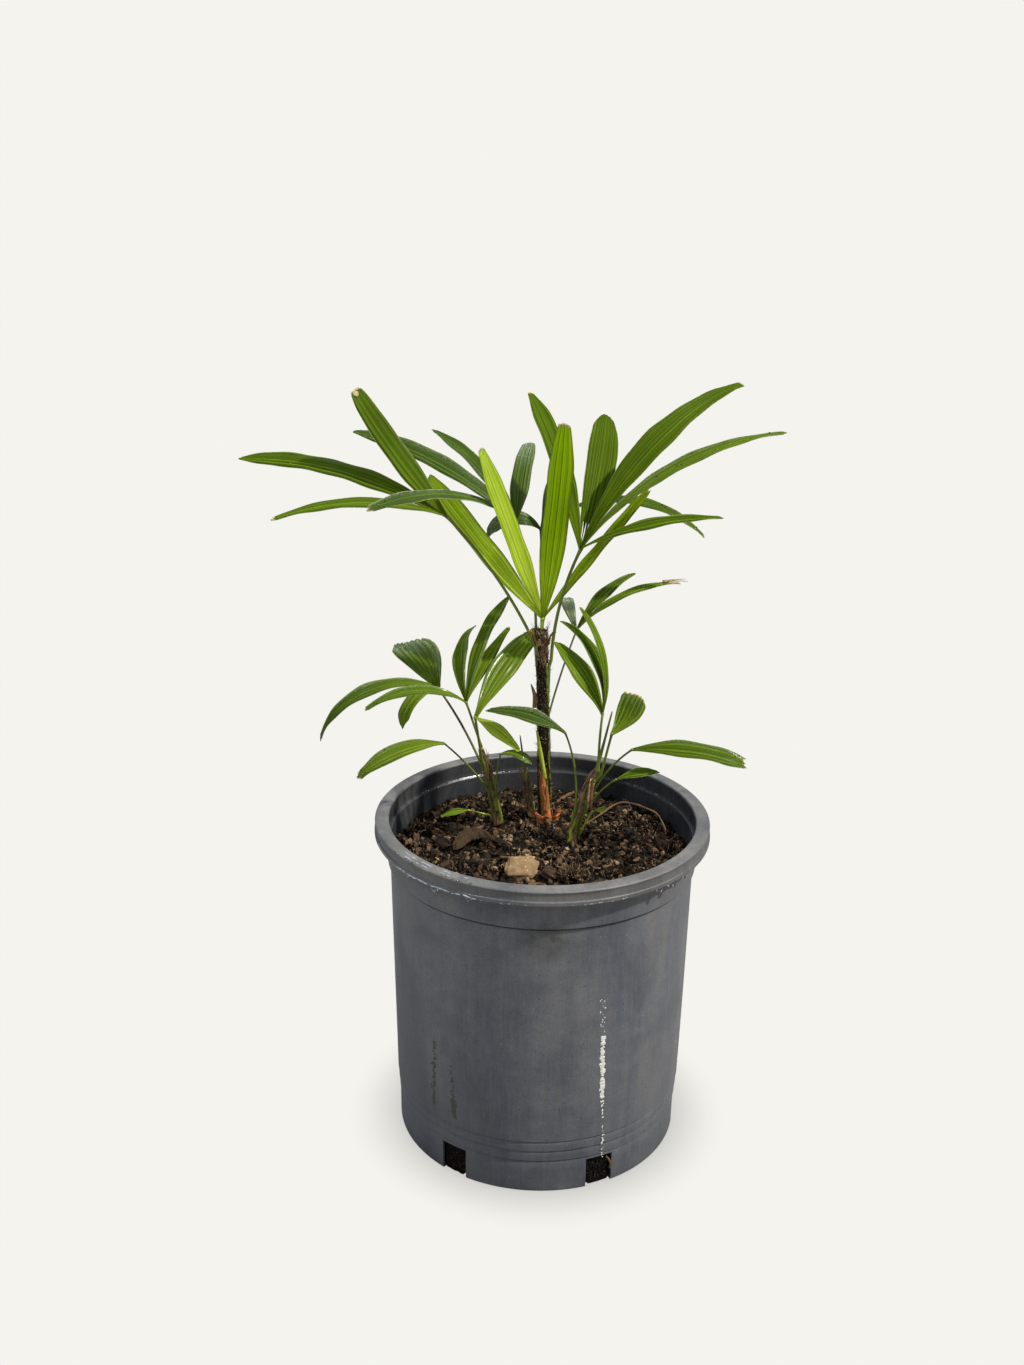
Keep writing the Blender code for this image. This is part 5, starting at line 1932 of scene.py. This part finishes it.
def make_floor():
    """A pale floor that the camera sees glowing in the backdrop's colour, with a contact shadow painted
    close under the pot.
    """
    mesh = bpy.data.meshes.new("floor")
    corners = [(x * FLOOR_REACH, y * FLOOR_REACH, 0) for x, y in ((-1, -1), (1, -1), (1, 1), (-1, 1))]
    mesh.from_pydata(corners, [], [(0, 1, 2, 3)])
    floor = placed("floor", mesh)
    made, tree, surface = new_finish("pale_floor")
    matt = {"Base Color": (0.22, 0.215, 0.2, 1), "Roughness": 1.0, "Specular IOR Level": 0.0}
    set_inputs(tree, surface, matt)
    # Painted contact shadow: occlusion through a normal tilted backwards darkens the glowing floor, most in
    # front of the pot
    tilted = {"Distance": 0.036, "Normal": (0.0, 0.62, 0.785)}
    near = add_node(tree, "AmbientOcclusion", tilted, samples=12).outputs["AO"]
    backdrop_with_painted_shadow = blended(tree, 1.0, BACKDROP, ranged(tree, near, 0.45, 0.97, 0.66, 1.0), way="MULTIPLY")
    seen = add_node(tree, "Emission", {"Color": backdrop_with_painted_shadow}).outputs[0]
    rays = add_node(tree, "LightPath").outputs["Is Camera Ray"]
    mix = add_node(tree, "MixShader", {0: rays, 1: surface.outputs[0], 2: seen})
    tree.links.new(mix.outputs[0], tree.nodes["Material Output"].inputs["Surface"])
    mesh.materials.append(made)


def make_sky():
    """Soft light from above and little from below; the camera sees the plain backdrop."""
    world = bpy.data.worlds.new("studio")
    bpy.context.scene.world = world
    world.use_nodes = True
    tree = world.node_tree
    tree.nodes.clear()
    where = add_node(tree, "TexCoord").outputs["Generated"]
    height = add_node(tree, "SeparateXYZ", {0: where}).outputs["Z"]
    low = blended(tree, ranged(tree, height, -0.1, 0.05), GROUND_LIGHT, HORIZON_LIGHT)
    high = blended(tree, ranged(tree, height, 0.05, 0.8), low, ZENITH_LIGHT)
    paths = add_node(tree, "LightPath").outputs
    strength = ranged(tree, paths["Is Glossy Ray"], 0, 1, SKY_STRENGTH, MIRRORED_SKY * SKY_STRENGTH)
    light = add_node(tree, "Background", {"Color": high, "Strength": strength}).outputs[0]
    seen = add_node(tree, "Background", {"Color": (*BACKDROP, 1), "Strength": 1.0}).outputs[0]
    mix = add_node(tree, "MixShader", {0: paths["Is Camera Ray"], 1: light, 2: seen})
    add_node(tree, "OutputWorld", {"Surface": mix.outputs[0]})


def make_lamps():
    """A sun from the right, a glow from behind for thin leaves, and a soft panel on the left."""
    for name, (azimuth, height, strength, softness, colour, mirrored) in SUNS.items():
        lamp = bpy.data.lights.new(name, "SUN")
        lamp.energy = strength
        lamp.angle = math.radians(softness)
        lamp.color = colour
        add_lamp(name, lamp, azimuth, height, 1.0).visible_glossy = mirrored
    panel = bpy.data.lights.new("left_panel", "AREA")
    panel.shape = "DISK"
    panel.size = 0.34
    panel.energy = 5.5
    panel.color = (0.93, 0.97, 1.0)
    add_lamp("left_panel", panel, -142, 46, 1.5)


def add_lamp(name, lamp, azimuth, height, away):
    """Places a lamp so that it points at the plant from a direction."""
    thing = placed(name, lamp)
    a, e = math.radians(azimuth), math.radians(height)
    towards = Vector((math.cos(e) * math.cos(a), math.cos(e) * math.sin(a), math.sin(e)))
    thing.location = Vector((0, 0, 0.2)) + towards * away
    thing.rotation_euler = towards.to_track_quat("Z", "Y").to_euler()
    return thing


def make_camera():
    """A camera at the photo's place."""
    scene = bpy.context.scene
    scene.view_settings.view_transform = "Standard"
    scene.view_settings.look = "None"
    camera = bpy.data.cameras.new("camera")
    camera.sensor_width = CAMERA_SENSOR
    camera.lens = CAMERA_LENS
    camera.clip_end = 200
    thing = placed("camera", camera)
    pitch, yaw, roll = np.radians(CAMERA_TURN)
    ahead = Vector((math.sin(yaw) * math.cos(pitch), math.cos(yaw) * math.cos(pitch), -math.sin(pitch)))
    right = Vector((math.cos(yaw), -math.sin(yaw), 0))
    up = right.cross(ahead)
    tilted_right = right * math.cos(roll) + up * math.sin(roll)
    tilted_up = up * math.cos(roll) - right * math.sin(roll)
    turn = Matrix((tilted_right, tilted_up, -ahead)).transposed()
    thing.matrix_world = Matrix.Translation(CAMERA_PLACE) @ turn.to_4x4()
    scene.camera = thing


make_effects()
FINISHES = make_finishes()
make_floor()
make_sky()
make_lamps()
make_camera()
make_pot()
make_pot_marks()
make_mix_body()
make_mix_crumbs()
make_mix_fibres()
make_litter()
for seed, stem in enumerate(STEMS):
    make_stem(stem, 100 + seed)
make_green_strips()
make_torn_sheaths()
make_trunk_fluff()
make_shoot_bracts()
dew_beds = []
for seed, leaf in enumerate(LEAVES):
    dew_beds += make_leaf(leaf, 200 + seed)
for spear in SPEARS:
    make_spear(spear)
make_tip_spot()
make_dew(dew_beds)
